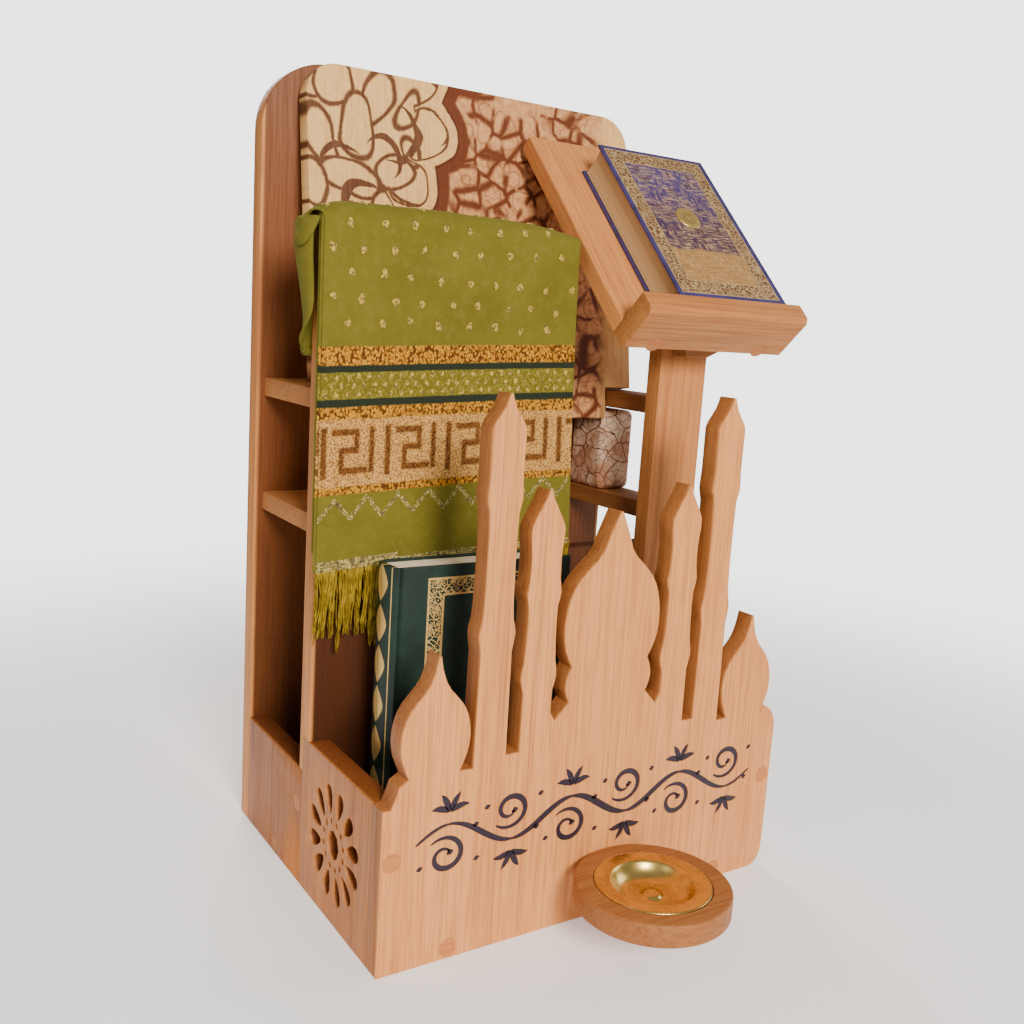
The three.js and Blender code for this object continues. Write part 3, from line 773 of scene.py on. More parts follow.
def rugMesh(material):
    rows = rugPath()
    columns = rugColumns()
    points = []
    cloth = []
    for kind, share in rows:
        for x, layer, across in columns:
            point, _, along = rugPoint(kind, share, x, layer)
            points.append(point)
            cloth.append((across * mm, along * mm))
    wide = len(columns)
    faces = []
    for r in range(len(rows) - 1):
        for c in range(wide - 1):
            k = r * wide + c
            faces.append((k, k + 1, k + wide + 1, k + wide))
    piece = newPiece("rug_cloth", points, faces, material)
    layer = piece.data.uv_layers.new(name="cloth")
    for loop in piece.data.loops:
        layer.data[loop.index].uv = cloth[loop.vertex_index]
    body = piece.modifiers.new("thickness", "SOLIDIFY")
    body.thickness = rug["thick"] * mm
    body.offset = 0
    return piece


rugBands = {  # distances up from the hem, in metres
    "zigzag": (0.040, 0.056), "keyLow": (0.0605, 0.0665), "key": (0.0665, 0.1195),
    "keyHigh": (0.1195, 0.1288), "stripeLow": (0.1288, 0.135), "dots": (0.135, 0.1555),
    "stripeHigh": (0.1555, 0.161), "gold": (0.161, 0.1755),
}
keyRepeat = 7.2  # the hooked key is drawn in squares of a seventh of its height
keyBars = (  # left, right, low and high
    (0.3, 0.95, 0.9, 6.2), (1.5, 4.6, 5.3, 6.0), (4.0, 4.6, 3.4, 6.0), (2.3, 4.6, 3.4, 4.1),
    (2.3, 2.9, 1.3, 4.1), (2.3, 5.6, 1.3, 2.0), (5.7, 6.3, 1.3, 6.2),
)
rugTones = {
    "pile": tint(114, 106, 34), "pileDark": tint(86, 78, 20), "pileLight": tint(132, 124, 52),
    "gold": tint(172, 108, 22), "goldLight": tint(214, 154, 42), "goldGapShade": tint(84, 46, 8),
    "stripe": tint(22, 28, 20), "key": tint(216, 160, 84), "keyLine": tint(112, 60, 20),
    "bead": tint(196, 176, 96), "beadDark": tint(84, 66, 30),
    "knot": tint(200, 168, 62), "knotDark": tint(92, 74, 20),
}


def rugLook():
    look = Look("rug_wool", {"Specular IOR Level": 0.15, "Sheen Weight": 0.25, "Sheen Roughness": 0.5,
                             "Sheen Tint": tint(180, 180, 90)})
    u, v, _ = look.parts(look.node("UVMap", {"uv_map": "cloth"}))
    cloth = look.joined(u, v)
    wobble = look.cloud(cloth, 90, 2) - 0.5
    along = v + wobble * 0.0012
    nap = look.cloud(look.place(), 1500, 3, 0.7)
    shade = look.cloud(look.place(), 24, 3, 0.5)
    patch = look.cloud(look.place(), 150, 3, 0.6)
    worn = nap.rise(0.3, 0.72) * 0.55 + shade.rise(0.35, 0.7) * 0.3
    pile = look.mix(worn, rugTones["pile"], rugTones["pileDark"])
    pile = look.mix(patch.rise(0.45, 0.75) * 0.25, pile, rugTones["pileLight"])
    flattened = look.joined(u, v * 0.72)
    bead = look.cells(flattened, 560)
    beadHeight = 1 - bead.rise(0.1, 0.62)
    beadShade, _, _ = look.parts(look.cells(flattened, 560, out=1))
    goldYarn = look.mix(beadShade, rugTones["gold"], rugTones["goldLight"])
    # the dark rim of each bead is painted shade in the gaps between beads
    goldYarn = look.mix(bead.rise(0.42, 0.7), goldYarn, rugTones["goldGapShade"])

    def between(name, soft=0.0007):
        low, high = rugBands[name]
        return along.band(low, high, soft)

    low, high = rugBands["key"]
    square = (high - low) / 7
    left = ((u + wobble * 0.001 + 0.001) / square) % keyRepeat
    up = (along - low) / square
    bars = [left.band(x0, x1, 0.16) * up.band(y0, y1, 0.16) for x0, x1, y0, y1 in keyBars]
    key = bars[0]
    for bar in bars[1:]:
        key = key.most(bar)
    cell = look.cells(cloth, 700, spread=0.7)
    cellHeight = 1 - cell.rise(0.1, 0.6)
    # yarn cells go darker towards their edges: painted shade in the gaps between them
    gap = cell.rise(0.4, 0.68)
    tan = look.mix(gap, rugTones["key"], tint(128, 80, 30))
    tan = look.mix(nap.rise(0.4, 0.8) * 0.5, tan, tint(240, 200, 130))
    brown = look.mix(gap, rugTones["keyLine"], tint(64, 34, 12))
    keyCloth = look.mix(key * (0.7 + 0.3 * nap.rise(0.3, 0.6)), tan, brown)

    keyBand, dotsBand = between("key"), between("dots")
    stripes = between("stripeLow", 0.0005).most(between("stripeHigh", 0.0005))
    borders = between("keyLow").most(between("keyHigh")).most(between("gold"))
    colour = look.mix(stripes, pile, look.mix(nap, rugTones["stripe"], tint(44, 52, 38)))
    colour = look.mix(keyBand, colour, keyCloth)
    colour = look.mix(borders, colour, goldYarn)
    # the dots band is lighter on the bead tops and darker between them: painted light and shade
    colour = look.mix(dotsBand * 0.6, colour, look.mix(beadHeight, tint(104, 92, 24), tint(164, 148, 60)))
    height = nap * 0.4 + borders * beadHeight * 1.6 + keyBand * cellHeight * 1.2 + dotsBand * beadHeight * 0.5
    return look.finish(colour, 0.92 - 0.22 * borders, height, 0.0009, 0.55)


def blob(centre, out, size, stretch, seed, fine=2):  # one embroidered knot
    ball = bmesh.new()
    bmesh.ops.create_icosphere(ball, subdivisions=fine, radius=1.0)
    side = out.cross(Vector((0, 0, 1)))
    side = side.normalized() if side.length > 0.01 else Vector((1, 0, 0))
    up = side.cross(out).normalized()
    made = []
    for vertex in ball.verts:
        bump = 1 + 0.34 * noise.noise(vertex.co * 1.9 + Vector((seed * 3.7, 0, 0)))
        place = vertex.co * bump * size
        made.append(centre + side * place.x + up * place.y * stretch + out * place.z * 0.42)
    faces = [tuple(v.index for v in face.verts) for face in ball.faces]
    ball.free()
    return made, faces


def knotLook(name, low, high):
    look = Look(name, {"Specular IOR Level": 0.3, "Sheen Weight": 0.2})
    tone = look.cloud(look.place(), 420, 1)
    fine = look.cloud(look.place(), 1700, 2)
    thread = look.cells(look.place(), 1100)
    colour = look.mix((tone * 0.7 + fine * 0.3).rise(0.36, 0.6), low, high)
    return look.finish(colour, 0.6 + 0.2 * fine, 1 - thread, 0.0006, 0.8)


def onRug(x, lift):  # a place on the outer face, lift millimetres up from the hem
    straight = rug["top"] - hemAt(x) - rug["corner"]
    if lift <= straight:
        return rugPoint("drop", lift / straight, x, 0.0)[:2]
    return rugPoint("bendFront", min(1.0, (lift - straight) / 20), x, 0.0)[:2]


def stitch(x, lift, proud, size, stretch, seed, fine=2):
    point, out = onRug(x, lift)
    return blob(point + out * proud * mm, out, size * mm, stretch, seed, fine)


def knot(x, lift, size, seed):  # a few irregular stitches drawn together
    made = []
    for part in range(4):
        turn = seed * 1.7 + part * 1.6
        aside = size * 0.55 if part else 0.0
        share = 0.78 if part else 0.9
        across, up = aside * math.cos(turn), aside * 1.25 * math.sin(turn)
        stretch = random.uniform(1.0, 1.35)
        made.append(stitch(x + across, lift + up, 0.8, size * share, stretch, seed * 4 + part))
    return made


fieldKnots = {  # wide-set knots of the plain field; the lower rows follow the rising hem
    "lifts": (196, 213, 232, 249, 267, 284), "columns": 9, "first": 8, "step": 25.8, "shift": 15,
    "follow": 3, "fall": 11,
}
bandKnots = {"rows": 3, "columns": 26, "first": 4, "step": 9.2, "shift": 4.6}


def rugKnots():
    solids = []
    random.seed(31)
    seed = 0
    for row, base in enumerate(fieldKnots["lifts"]):
        for column in range(fieldKnots["columns"]):
            seed += 1
            x = fieldKnots["first"] + column * fieldKnots["step"] + (0 if row % 2 else fieldKnots["shift"])
            x += random.uniform(-2.2, 2.2)
            if x < rug["across"] - 5:
                fall = fieldKnots["fall"] * x / rug["across"] * (row < fieldKnots["follow"])
                lift = base + random.uniform(-2, 2) - fall
                solids += knot(x, lift, random.uniform(2.0, 2.7), seed)
    low, high = rugBands["dots"]
    for row in range(bandKnots["rows"]):
        for column in range(bandKnots["columns"]):
            seed += 1
            x = bandKnots["first"] + column * bandKnots["step"] + (bandKnots["shift"] if row % 2 else 0)
            x += random.uniform(-0.7, 0.7)
            lift = (low + (high - low) * (row + 0.5) / bandKnots["rows"]) * 1000 + random.uniform(-0.5, 0.5)
            if x < rug["across"] - 3:
                solids += knot(x, lift, random.uniform(1.5, 1.9), seed)[:3]
    look = knotLook("rug_knots", rugTones["knotDark"], rugTones["knot"])
    return newPiece("rug_embroidery", *gather(solids), look)


zigzag = {"period": 27.6, "first": 1.0, "step": 1.5, "wide": 1.3, "climb": 0.02}
hemBeads = {"columns": 190, "first": 0.6, "denseTo": 70, "dense": 5, "rows": 3, "step": 1.7, "lift": 0.4}


def rugBeads():
    solids = []
    random.seed(52)
    seed = 2000
    low, high = (edge * 1000 for edge in rugBands["zigzag"])
    x = zigzag["first"]
    while x < rug["across"] - 2:
        phase = (x / zigzag["period"]) % 1.0
        climb = 1 - abs(phase * 2 - 1)
        for side in (-1, 1):
            seed += 1
            lift = low + climb * (high - low) + side * zigzag["wide"] + zigzag["climb"] * x
            lift += random.uniform(-0.5, 0.5)
            solids.append(stitch(x + random.uniform(-0.4, 0.4), lift, 0.7, random.uniform(0.75, 1.1),
                                 random.uniform(0.9, 1.6), seed, 1))
        x += zigzag["step"]
    for column in range(hemBeads["columns"]):
        x = hemBeads["first"] + (rug["across"] + 0.6) * column / hemBeads["columns"]
        for row in range(hemBeads["dense"] if x < hemBeads["denseTo"] else hemBeads["rows"]):
            seed += 1
            aside = random.uniform(-0.4, 0.4)
            lift = hemBeads["lift"] + row * hemBeads["step"] + random.uniform(-0.5, 0.5)
            solids.append(stitch(x + aside, lift, 0.6, random.uniform(0.7, 1.05),
                                 random.uniform(0.9, 1.5), seed, 1))
    look = knotLook("rug_bead", rugTones["beadDark"], rugTones["bead"])
    return newPiece("rug_beads", *gather(solids), look)


def strand(path, radius, sides=5):  # a closed tapered thread along a list of points
    made = []
    faces = []
    for i, here in enumerate(path):
        ahead = path[min(i + 1, len(path) - 1)] - path[max(i - 1, 0)]
        turn = ahead.to_track_quat("Z", "Y").to_matrix()
        thin = radius * (1 - 0.45 * i / (len(path) - 1))
        for s in range(sides):
            angle = 2 * math.pi * s / sides
            made.append(here + turn @ Vector((math.cos(angle) * thin, math.sin(angle) * thin, 0)))
    for i in range(len(path) - 1):
        for s in range(sides):
            k = i * sides
            faces.append((k + s, k + (s + 1) % sides, k + sides + (s + 1) % sides, k + sides + s))
    faces.append(tuple(reversed(range(sides))))
    faces.append(tuple(range(len(path) * sides - sides, len(path) * sides)))
    return made, faces


def fringeLook():
    look = Look("rug_fringe", {"Specular IOR Level": 0.15})
    fine = look.cloud(look.vector("MULTIPLY", look.place(), (1, 1, 0.15)), 900, 2)
    tone = look.cloud(look.place(), 120, 2)
    colour = look.mix(tone.rise(0.35, 0.65), tint(128, 102, 16), tint(168, 138, 34))
    colour = look.mix(fine.rise(0.4, 0.7) * 0.5, colour, tint(96, 80, 14))
    return look.finish(colour, 0.8, fine, 0.0004, 0.5)


fringe = {"count": 700, "tassel": 7.5, "short": 50, "long": 62, "steps": 11, "above": 2.0}


def fringeStrand(i):
    x = 0.5 + (rug["across"] + 1) * i / fringe["count"] + random.uniform(-0.6, 0.6)
    layer = (i % 3) * rug["pitch"] * 0.8
    top, out, _ = rugPoint("drop", 0.0, x, layer)
    # strands lean into loose tassels
    tuft = round(x / fringe["tassel"] + 0.35 * math.sin(x * 0.31)) * fringe["tassel"]
    pull = (tuft - x) * random.uniform(0.25, 0.75)
    length = random.uniform(fringe["short"], fringe["long"])
    length += 12 * (math.sin(tuft * 2.3) > 0.86) - 4 * abs(math.sin(tuft * 1.1))
    sway = random.uniform(-1.1, 1.1) + 1.6 * math.sin(tuft)
    puff = random.uniform(0.2, 1.3)
    path = []
    for share in evenSteps(0, 1, fringe["steps"]):
        drift = pull * math.sin(share * 1.7) + sway * math.sin(share * 3.4 + tuft)
        kink = 0.35 * math.sin(share * 16 + i)
        lift = out * (puff * math.sin(share * 2.6) + 0.4 * kink) * mm
        path.append(top + Vector((drift + kink, 0, fringe["above"] - length * share)) * mm + lift)
    return strand(path, random.uniform(0.6, 0.95) * mm)


def rugFringe():
    random.seed(77)
    solids = [fringeStrand(i) for i in range(fringe["count"])]
    return newPiece("rug_fringe", *gather(solids), fringeLook())


rugCloth = rugMesh(rugLook())
rugTrim = [rugKnots(), rugBeads(), rugFringe()]
for piece in (rugCloth, *rugTrim):
    fit(piece, "stand", "rug_wool")
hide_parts("prayer_rug")
print("rug laid")


def extruded(outline, low, high, place):  # an outline carried from low to high; place turns it into the model
    count = len(outline)
    points = [place(a, b, low) for a, b in outline] + [place(a, b, high) for a, b in outline]
    faces = [tuple(reversed(range(count))), tuple(range(count, 2 * count))]
    for i in range(count):
        j = (i + 1) % count
        faces.append((i, j, count + j, count + i))
    return points, faces


def softened(piece, width, segments=3):
    outwards(piece)
    bevel = piece.modifiers.new("eased", "BEVEL")
    bevel.width = width
    bevel.segments = segments
    bevel.limit_method = "ANGLE"
    bevel.angle_limit = math.radians(34)
    bevel.harden_normals = True
    return piece


# cross-section of a hard cover: boards lie from the hollow to the length, the spine is rounded at 0
def caseOutline(length, thick, board, hollow, rounding):
    steps = 9
    groove, fold = 0.7, 2
    outer = [(length, 0), (hollow + 5, 0), (hollow + 3, groove), (hollow, groove), (hollow - fold, 0.1)]
    for i in range(1, steps):
        outer.append((rounding - rounding * math.sin(math.pi * i / steps) ** 0.7, thick * i / steps))
    outer += [(hollow - fold, thick - 0.1), (hollow, thick - groove), (hollow + 3, thick - groove),
              (hollow + 5, thick), (length, thick)]
    inner = [(length, thick - board), (hollow + 2, thick - board), (hollow - 1.4, thick - board - 0.5),
             (hollow - 2.4, thick / 2), (hollow - 1.4, board + 0.5), (hollow + 2, board), (length, board)]
    return outer + inner


# tall book: dark green cover, gold frame on the front and gold leaves on the spine
tall = {
    "start": 38.0, "across": 170.0, "front": 79.0, "thick": 33.0, "low": 18.3, "high": 289.3, "board": 2.6,
    "hollow": 9.0, "spine": 6.0, "squareX": 97.0, "halfX": 71.0, "halfZ": 132.5,
}
tallLeaf = {"step": 0.0335, "first": 0.006, "wide": 0.0085, "lines": (0.0118, 0.0127)}


def goldScroll(look, vector, scale):  # foil tracery: 1 on the gold
    bend = look.cloud(vector, scale * 0.55, 2)
    moved = look.vector("ADD", vector, look.joined(bend * 0.006, bend * -0.005, 0.0))
    edge = look.cells(moved, scale, "DISTANCE_TO_EDGE")
    core = look.cells(moved, scale)
    return (1 - edge.rise(0.05, 0.1)).most(core.band(0.2, 0.3, 0.03)).most(1 - core.rise(0.06, 0.1))


def frameMask(x, y, inset, wide, halfX, halfY, soft=0.0002):  # a rectangular frame round the middle
    reach = (abs(x) - halfX).most(abs(y) - halfY)
    return reach.band(-inset - wide, -inset, soft)


def doubleFrame(x, y, insets, wide, halfX, halfY):
    outer, inner = (frameMask(x, y, inset, lineWide, halfX, halfY) for inset, lineWide in zip(insets, wide))
    return outer.most(inner)


def tallCoverLook():
    look = Look("tall_book_leather", {"Specular IOR Level": 0.45})
    x, y, z = look.parts(look.place())
    low = at(tall["start"], tall["front"], tall["low"])
    halfX, halfZ = tall["halfX"] * mm, tall["halfZ"] * mm
    dx = x - (low.x + tall["squareX"] * mm)
    dz = z - (low.z + (tall["high"] - tall["low"]) * mm / 2)
    front = 1 - y.rise(low.y + 0.0012, low.y + 0.0016)
    strip = frameMask(dx, dz, 0.0080, 0.0130, halfX, halfZ)
    lines = doubleFrame(dx, dz, (0.0070, 0.0205), (0.0016, 0.0016), halfX, halfZ)
    foil = front * (strip * goldScroll(look, look.joined(x, z), 230)).most(lines)
    # pointed leaves one above another down the spine
    aside = y - (low.y + tall["thick"] * mm / 2)
    step = tallLeaf["step"]
    rise = ((z - low.z - tallLeaf["first"]) % step) / step - 0.5
    wide = tallLeaf["wide"] * (1 - (abs(rise) * 2.15) ** 1.6)
    leaf = (1 - (abs(aside) - wide).rise(-0.0004, 0.0003)) * (1 - abs(rise).rise(0.44, 0.46))
    vein = 1 - abs(aside - rise * 0.004).rise(0.0003, 0.0006)
    spineLines = abs(aside).band(*tallLeaf["lines"], 0.0002)
    onSpine = 1 - x.rise(low.x + 0.0058, low.x + 0.0064)
    foil = foil.most(onSpine * (leaf * (1 - vein * 0.8)).most(spineLines))
    grain = look.cells(look.place(), 900)
    wear = look.cloud(look.place(), 45, 4, 0.6)
    leather = look.mix(wear.rise(0.3, 0.75), tint(8, 30, 24), tint(16, 46, 36))
    gold = look.mix(wear, tint(206, 158, 76), tint(246, 212, 132))
    look.join(look.shader.inputs["Metallic"], foil * 0.5)
    roughness = 0.42 - 0.1 * foil + 0.14 * wear
    return look.finish(look.mix(foil, leather, gold), roughness, grain * 0.6 + foil * 0.8, 0.00022, 0.5)


def pageLook(name, axis):  # leaves lie across the given axis
    look = Look(name, {"Specular IOR Level": 0.1})
    stretch = [0.02, 0.02, 0.02]
    stretch[axis] = 1.0
    leaves = look.cloud(look.vector("MULTIPLY", look.place(), tuple(stretch)), 1500, 2, 0.7)
    stain = look.cloud(look.place(), 30, 3)
    colour = look.mix(leaves.rise(0.4, 0.75), tint(252, 242, 220), tint(206, 186, 150))
    colour = look.mix(stain * 0.25, colour, tint(222, 204, 168))
    colour = look.mix(1.0, colour, (1.0, 0.97, 0.92, 1), "MULTIPLY")  # a warmer cut edge
    return look.finish(colour, 0.85, leaves, 0.0003, 0.7)


def tallPlace(across, deep, height):
    return at(tall["start"] + across, tall["front"] + deep, height)


def tallBook():
    across, thick, low, high = (tall[key] for key in ("across", "thick", "low", "high"))
    outline = caseOutline(across, thick, tall["board"], tall["hollow"], tall["spine"])
    cover = newPiece("tall_book_case", *extruded(outline, low, high, tallPlace), tallCoverLook())
    fit(softened(cover, 0.7 * mm), "tall_book", "green_leather", "tall_book_cover")
    inside = tall["board"] + 0.3
    deep = thick - inside
    block = [(across - 4, inside), (across - 5.5, thick / 2), (across - 4, deep),
             (9.5, deep), (7.4, thick / 2), (9.5, inside)]
    leaves = extruded(block, low + 2.5, high - 2.2, tallPlace)
    pages = newPiece("tall_book_leaves", *leaves, pageLook("tall_book_paper", 1))
    fit(softened(pages, 0.5 * mm, 2), "tall_book", "paper", "tall_book_pages")


tallBook()
print("tall book finished")


# book on the desk: spine on the right, indigo boards, gilt border and a round boss on the front cover
quran = {
    "start": 42.0, "across": 127.0, "length": 189.0, "thick": 33.0, "board": 2.2, "up": 0.3, "joint": 3,
    "bossAcross": 0.49, "bossUp": 0.535,
}
deskOrigin = at(243, 79, 489.6)


def onDesk(across, up, out):
    return deskOrigin + Vector((across, 0, 0)) * mm + deskUp * up * mm + deskOut * out * mm


def deskParts(look, middle):  # metres across, up and out of the desk from a point on it
    away = look.vector("SUBTRACT", look.place(), tuple(middle))
    across, _, _ = look.parts(away)
    up, out = (look.vector("DOT_PRODUCT", away, tuple(axis), out=1) for axis in (deskUp, deskOut))
    return across, up, out


def wovenPanel(look, x, up, halfUp):  # woven streaks over a violet field, with a sandy foot
    streak = look.cloud(look.joined(x * 0.10, up), 700, 3, 0.7)
    cross = look.cloud(look.joined(x, up * 0.12), 700, 2, 0.7)
    drift = look.cloud(look.joined(x, up), 42, 2)
    rise = (up + halfUp) / (2 * halfUp) + (drift - 0.5) * 0.08
    panel = look.mix(rise.rise(0.35, 0.85), tint(56, 28, 60), tint(62, 46, 104))
    panel = look.mix(drift.rise(0.42, 0.5) * streak.rise(0.44, 0.6) * 0.8, panel, tint(196, 160, 116))
    panel = look.mix((1 - drift.rise(0.4, 0.48)) * cross.rise(0.5, 0.66) * 0.7, panel, tint(206, 164, 112))
    panel = look.mix(drift.rise(0.5, 0.56) * cross.rise(0.46, 0.58) * 0.8, panel, tint(70, 36, 30))
    sand = look.mix(streak.rise(0.35, 0.7), tint(178, 132, 72), tint(128, 88, 44))
    sand = look.mix(cross.rise(0.5, 0.7) * 0.5, sand, tint(226, 190, 132))
    return look.mix(1 - rise.rise(0.30, 0.32), panel, sand), streak


def coverLook(name, ornament):
    look = Look(name, {"Specular IOR Level": 0.5, "Coat Weight": 0.25, "Coat Roughness": 0.2})
    board = quran["across"] - quran["joint"]
    middle = onDesk(quran["start"] + board / 2, quran["up"] + quran["length"] / 2, quran["thick"])
    x, up, out = deskParts(look, middle)
    wear = look.cloud(look.place(), 60, 4, 0.6)
    cloth = look.mix(wear.rise(0.3, 0.7), tint(46, 36, 84), tint(62, 50, 106))
    fine = look.cloud(look.place(), 1200, 2)
    if not ornament:
        return look.finish(look.mix(0.25, cloth, tint(30, 32, 56)), 0.4 + 0.15 * wear, fine, 0.0001)
    halfX, halfUp = board * mm / 2, quran["length"] * mm / 2
    top = out.rise(-0.0006, -0.0002)
    border = frameMask(x, up, 0.0045, 0.0155, halfX, halfUp)
    rims = doubleFrame(x, up, (0.0042, 0.0192), (0.0010, 0.0012), halfX, halfUp)
    inner = 1 - ((abs(x) - halfX).most(abs(up) - halfUp)).rise(-0.0204, -0.0200)
    scroll = goldScroll(look, look.joined(x, up), 190)
    ground = look.mix(wear, tint(84, 50, 26), tint(118, 74, 40))
    gilt = look.mix(wear, tint(206, 164, 100), tint(240, 208, 148))
    panel, streak = wovenPanel(look, x, up, halfUp)
    colour = look.mix(border * top, cloth, look.mix(scroll, ground, gilt))
    colour = look.mix(rims * top, colour, gilt)
    colour = look.mix(inner * top, colour, panel)
    foil = top * (border * scroll).most(rims)
    look.join(look.shader.inputs["Metallic"], foil * 0.6)
    height = fine * 0.3 + foil * 1.2 + streak * inner * 0.5
    return look.finish(colour, 0.36 + 0.12 * wear - 0.06 * foil, height, 0.00025, 0.6)


def medallion(middle):  # a low gilt boss with a beaded ring
    profile = [(0, 0), (13.2, 0), (13.2, 0.3), (12.4, 0.9), (11.4, 0.5), (10.2, 0.5), (9.4, 1.0), (8.2, 0.6),
               (4.6, 0.9), (0, 1.2)]
    points, faces = lathe(profile, 64)
    turn = deskOut.to_track_quat("Z", "Y").to_matrix()
    look = Look("medallion_gilt", {"Metallic": 0.8})
    x, up, _ = deskParts(look, middle)
    radius = (x * x + up * up) ** 0.5
    petals = ((look.angle(up, x) * 12).sine() * 0.5 + 0.5) * radius.band(0.003, 0.0078, 0.0004)
    wear = look.cloud(look.place(), 300, 3)
    colour = look.mix(petals, tint(214, 178, 96), tint(168, 126, 54))
    colour = look.mix(wear * 0.4, colour, tint(236, 212, 140))
    material = look.finish(colour, 0.3 + 0.15 * wear, petals * -0.6 + wear * 0.3, 0.0003, 0.7)
    return newPiece("cover_medallion", [turn @ p * mm + middle for p in points], faces, material)


def quranPlace(across, out, up):
    return onDesk(quran["start"] + across, up, out)


def quranPageLook():
    look = Look("quran_paper", {"Specular IOR Level": 0.1})
    out = look.vector("DOT_PRODUCT", look.place(), tuple(deskOut), out=1)
    leaves = look.cloud(look.joined(out, look.parts(look.place())[0] * 0.02), 1500, 2, 0.7)
    colour = look.mix(leaves.rise(0.35, 0.7), tint(214, 178, 128), tint(160, 122, 78))
    return look.finish(colour, 0.85, leaves, 0.0003, 0.7)


def deskBook():
    across, thick, board = quran["across"], quran["thick"], quran["board"]
    low, high = quran["up"], quran["up"] + quran["length"]
    hinge = across - board - 0.3
    front = [(0, thick - board), (hinge, thick - board), (hinge, thick), (0, thick)]
    shell = extruded(front, low, high, quranPlace)
    cover = newPiece("quran_front_board", *shell, coverLook("quran_cover_front", True))
    fit(softened(cover, 0.6 * mm), "quran_cover", "blue_cover", "quran_front_cover")
    boss = quranPlace(across * quran["bossAcross"], thick, low + quran["length"] * quran["bossUp"])
    fit(medallion(boss), "quran_cover", "blue_cover")
    case = [(0, 0.3), (across - 5, 0.3), (across - 3, 0.6), (across - 1, 2.6), (across, 8), (across, 25),
            (across - 0.6, thick - 1.2), (across - 1.2, thick), (across - 2.0, thick),
            (across - 2.2, thick - 2), (across - 2.1, 24), (across - 2.1, 8), (across - 3.0, board + 2),
            (across - 5, board + 0.3), (0, board + 0.3)]
    shell = extruded(case, low, high, quranPlace)
    back = newPiece("quran_case_cover", *shell, coverLook("quran_cover_plain", False))
    fit(softened(back, 0.4 * mm, 2), "quran", "blue_cover", "quran_case")
    block = [(3, board + 0.6), (across - 4.4, board + 0.6), (across - 2.8, 9), (across - 2.8, 24),
             (across - 3.4, thick - board - 0.3), (3, thick - board - 0.3), (4.2, thick * 0.66),
             (4.6, thick / 2), (4.2, thick * 0.33)]
    pages = newPiece("quran_leaves", *extruded(block, low + 3, high - 3, quranPlace), quranPageLook())
    fit(softened(pages, 0.4 * mm, 2), "quran", "paper", "quran_pages")


deskBook()
print("desk book finished")


# leaning board with burnt scrollwork: a lobed medallion full of petals, pebbled ground outside it
boardScroll = {  # circles as middle x, height and radius, in millimetres
    "lobes": [(-140 + 86 * math.cos(a), 652 + 86 * math.sin(a), 33) for a in evenSteps(-1.75, 1.55, 7)],
    "core": (-140, 652, 88),
    "petals": [  # middle, half sizes and turn of each petal
        (-158, 676, 17, 13, 0.5), (-142, 676, 22, 16, 1.3), (-103, 668, 14, 27, -0.5),
        (-122, 640, 15, 28, 0.15), (-154, 628, 12, 30, 0.4), (-72, 662, 10, 17, -0.7),
        (-66, 628, 8, 14, 0.5), (-84, 606, 22, 15, 0.3), (-128, 596, 25, 14, -0.2),
        (-160, 588, 12, 18, 0.1), (-92, 572, 16, 22, 0.9), (-150, 545, 24, 15, 0.4),
        (-110, 530, 14, 24, -0.6), (-70, 536, 16, 20, 0.3), (-34, 690, 9, 15, 0.9),
    ],
    "stems": [  # a circle less a shifted circle leaves a tapered hook
        (-96, 618, 20, -101, 613, 19), (-84, 640, 26, -90, 641, 25), (-136, 610, 17, -133, 604, 17),
        (-62, 600, 24, -67, 606, 25), (-118, 574, 22, -112, 570, 22), (-48, 652, 18, -52, 648, 17.5),
    ],
    "marginRight": 150,
}


def burnt(look, plane):  # painter's order: each petal hides what lies under it
    def circle(x, z, radius):
        return look.vector("DISTANCE", plane, (x * mm, z * mm, 0), out=1) - radius * mm

    body = circle(*boardScroll["core"])
    for lobe in boardScroll["lobes"]:
        body = body.least(circle(*lobe))
    stipple = 1 - look.cells(plane, 520).rise(0.1, 0.3)
    ink = 0.0
    for x, z, wide, long, turn in boardScroll["petals"]:
        local = look.node("Mapping", {"vector_type": "TEXTURE"}, {
            "Vector": plane, "Location": (x * mm, z * mm, 0), "Rotation": (0, 0, turn),
            "Scale": (wide * mm, long * mm, 1)})
        reach = (look.vector("LENGTH", local, out=1) - 1) * min(wide, long) * mm
        ink = (ink * reach.rise(-0.0006, 0.0006)).most(1 - abs(reach).rise(0.0008, 0.0026))
        ink = ink.most(stipple * (1 - reach.rise(-0.0055, -0.0045)) * 0.35)
    for stem in boardScroll["stems"]:
        whole, bite = (circle(*part).rise(-0.0004, 0.0006) for part in (stem[:3], stem[3:]))
        ink = ink.most((1 - whole) * bite)
    inside = 1 - body.rise(-0.0005, 0.0005)
    outline = (1 - abs(body).rise(0.0005, 0.0017)).most(1 - abs(body + 0.011).rise(0.0004, 0.0016))
    return ink * (1 - body.rise(-0.0118, -0.0112)), inside, outline, body


def creamWood(look, across, up):
    rough = look.cloud(look.joined(across, up), 130, 4, 0.7)
    streak = look.cloud(look.joined(across, up * 0.06), 330, 3, 0.6)
    cream = look.mix(rough.rise(0.35, 0.7) * 0.35, tint(240, 190, 120), tint(216, 152, 84))
    return look.mix(streak.rise(0.45, 0.7) * 0.4, cream, tint(190, 120, 58)), rough, streak


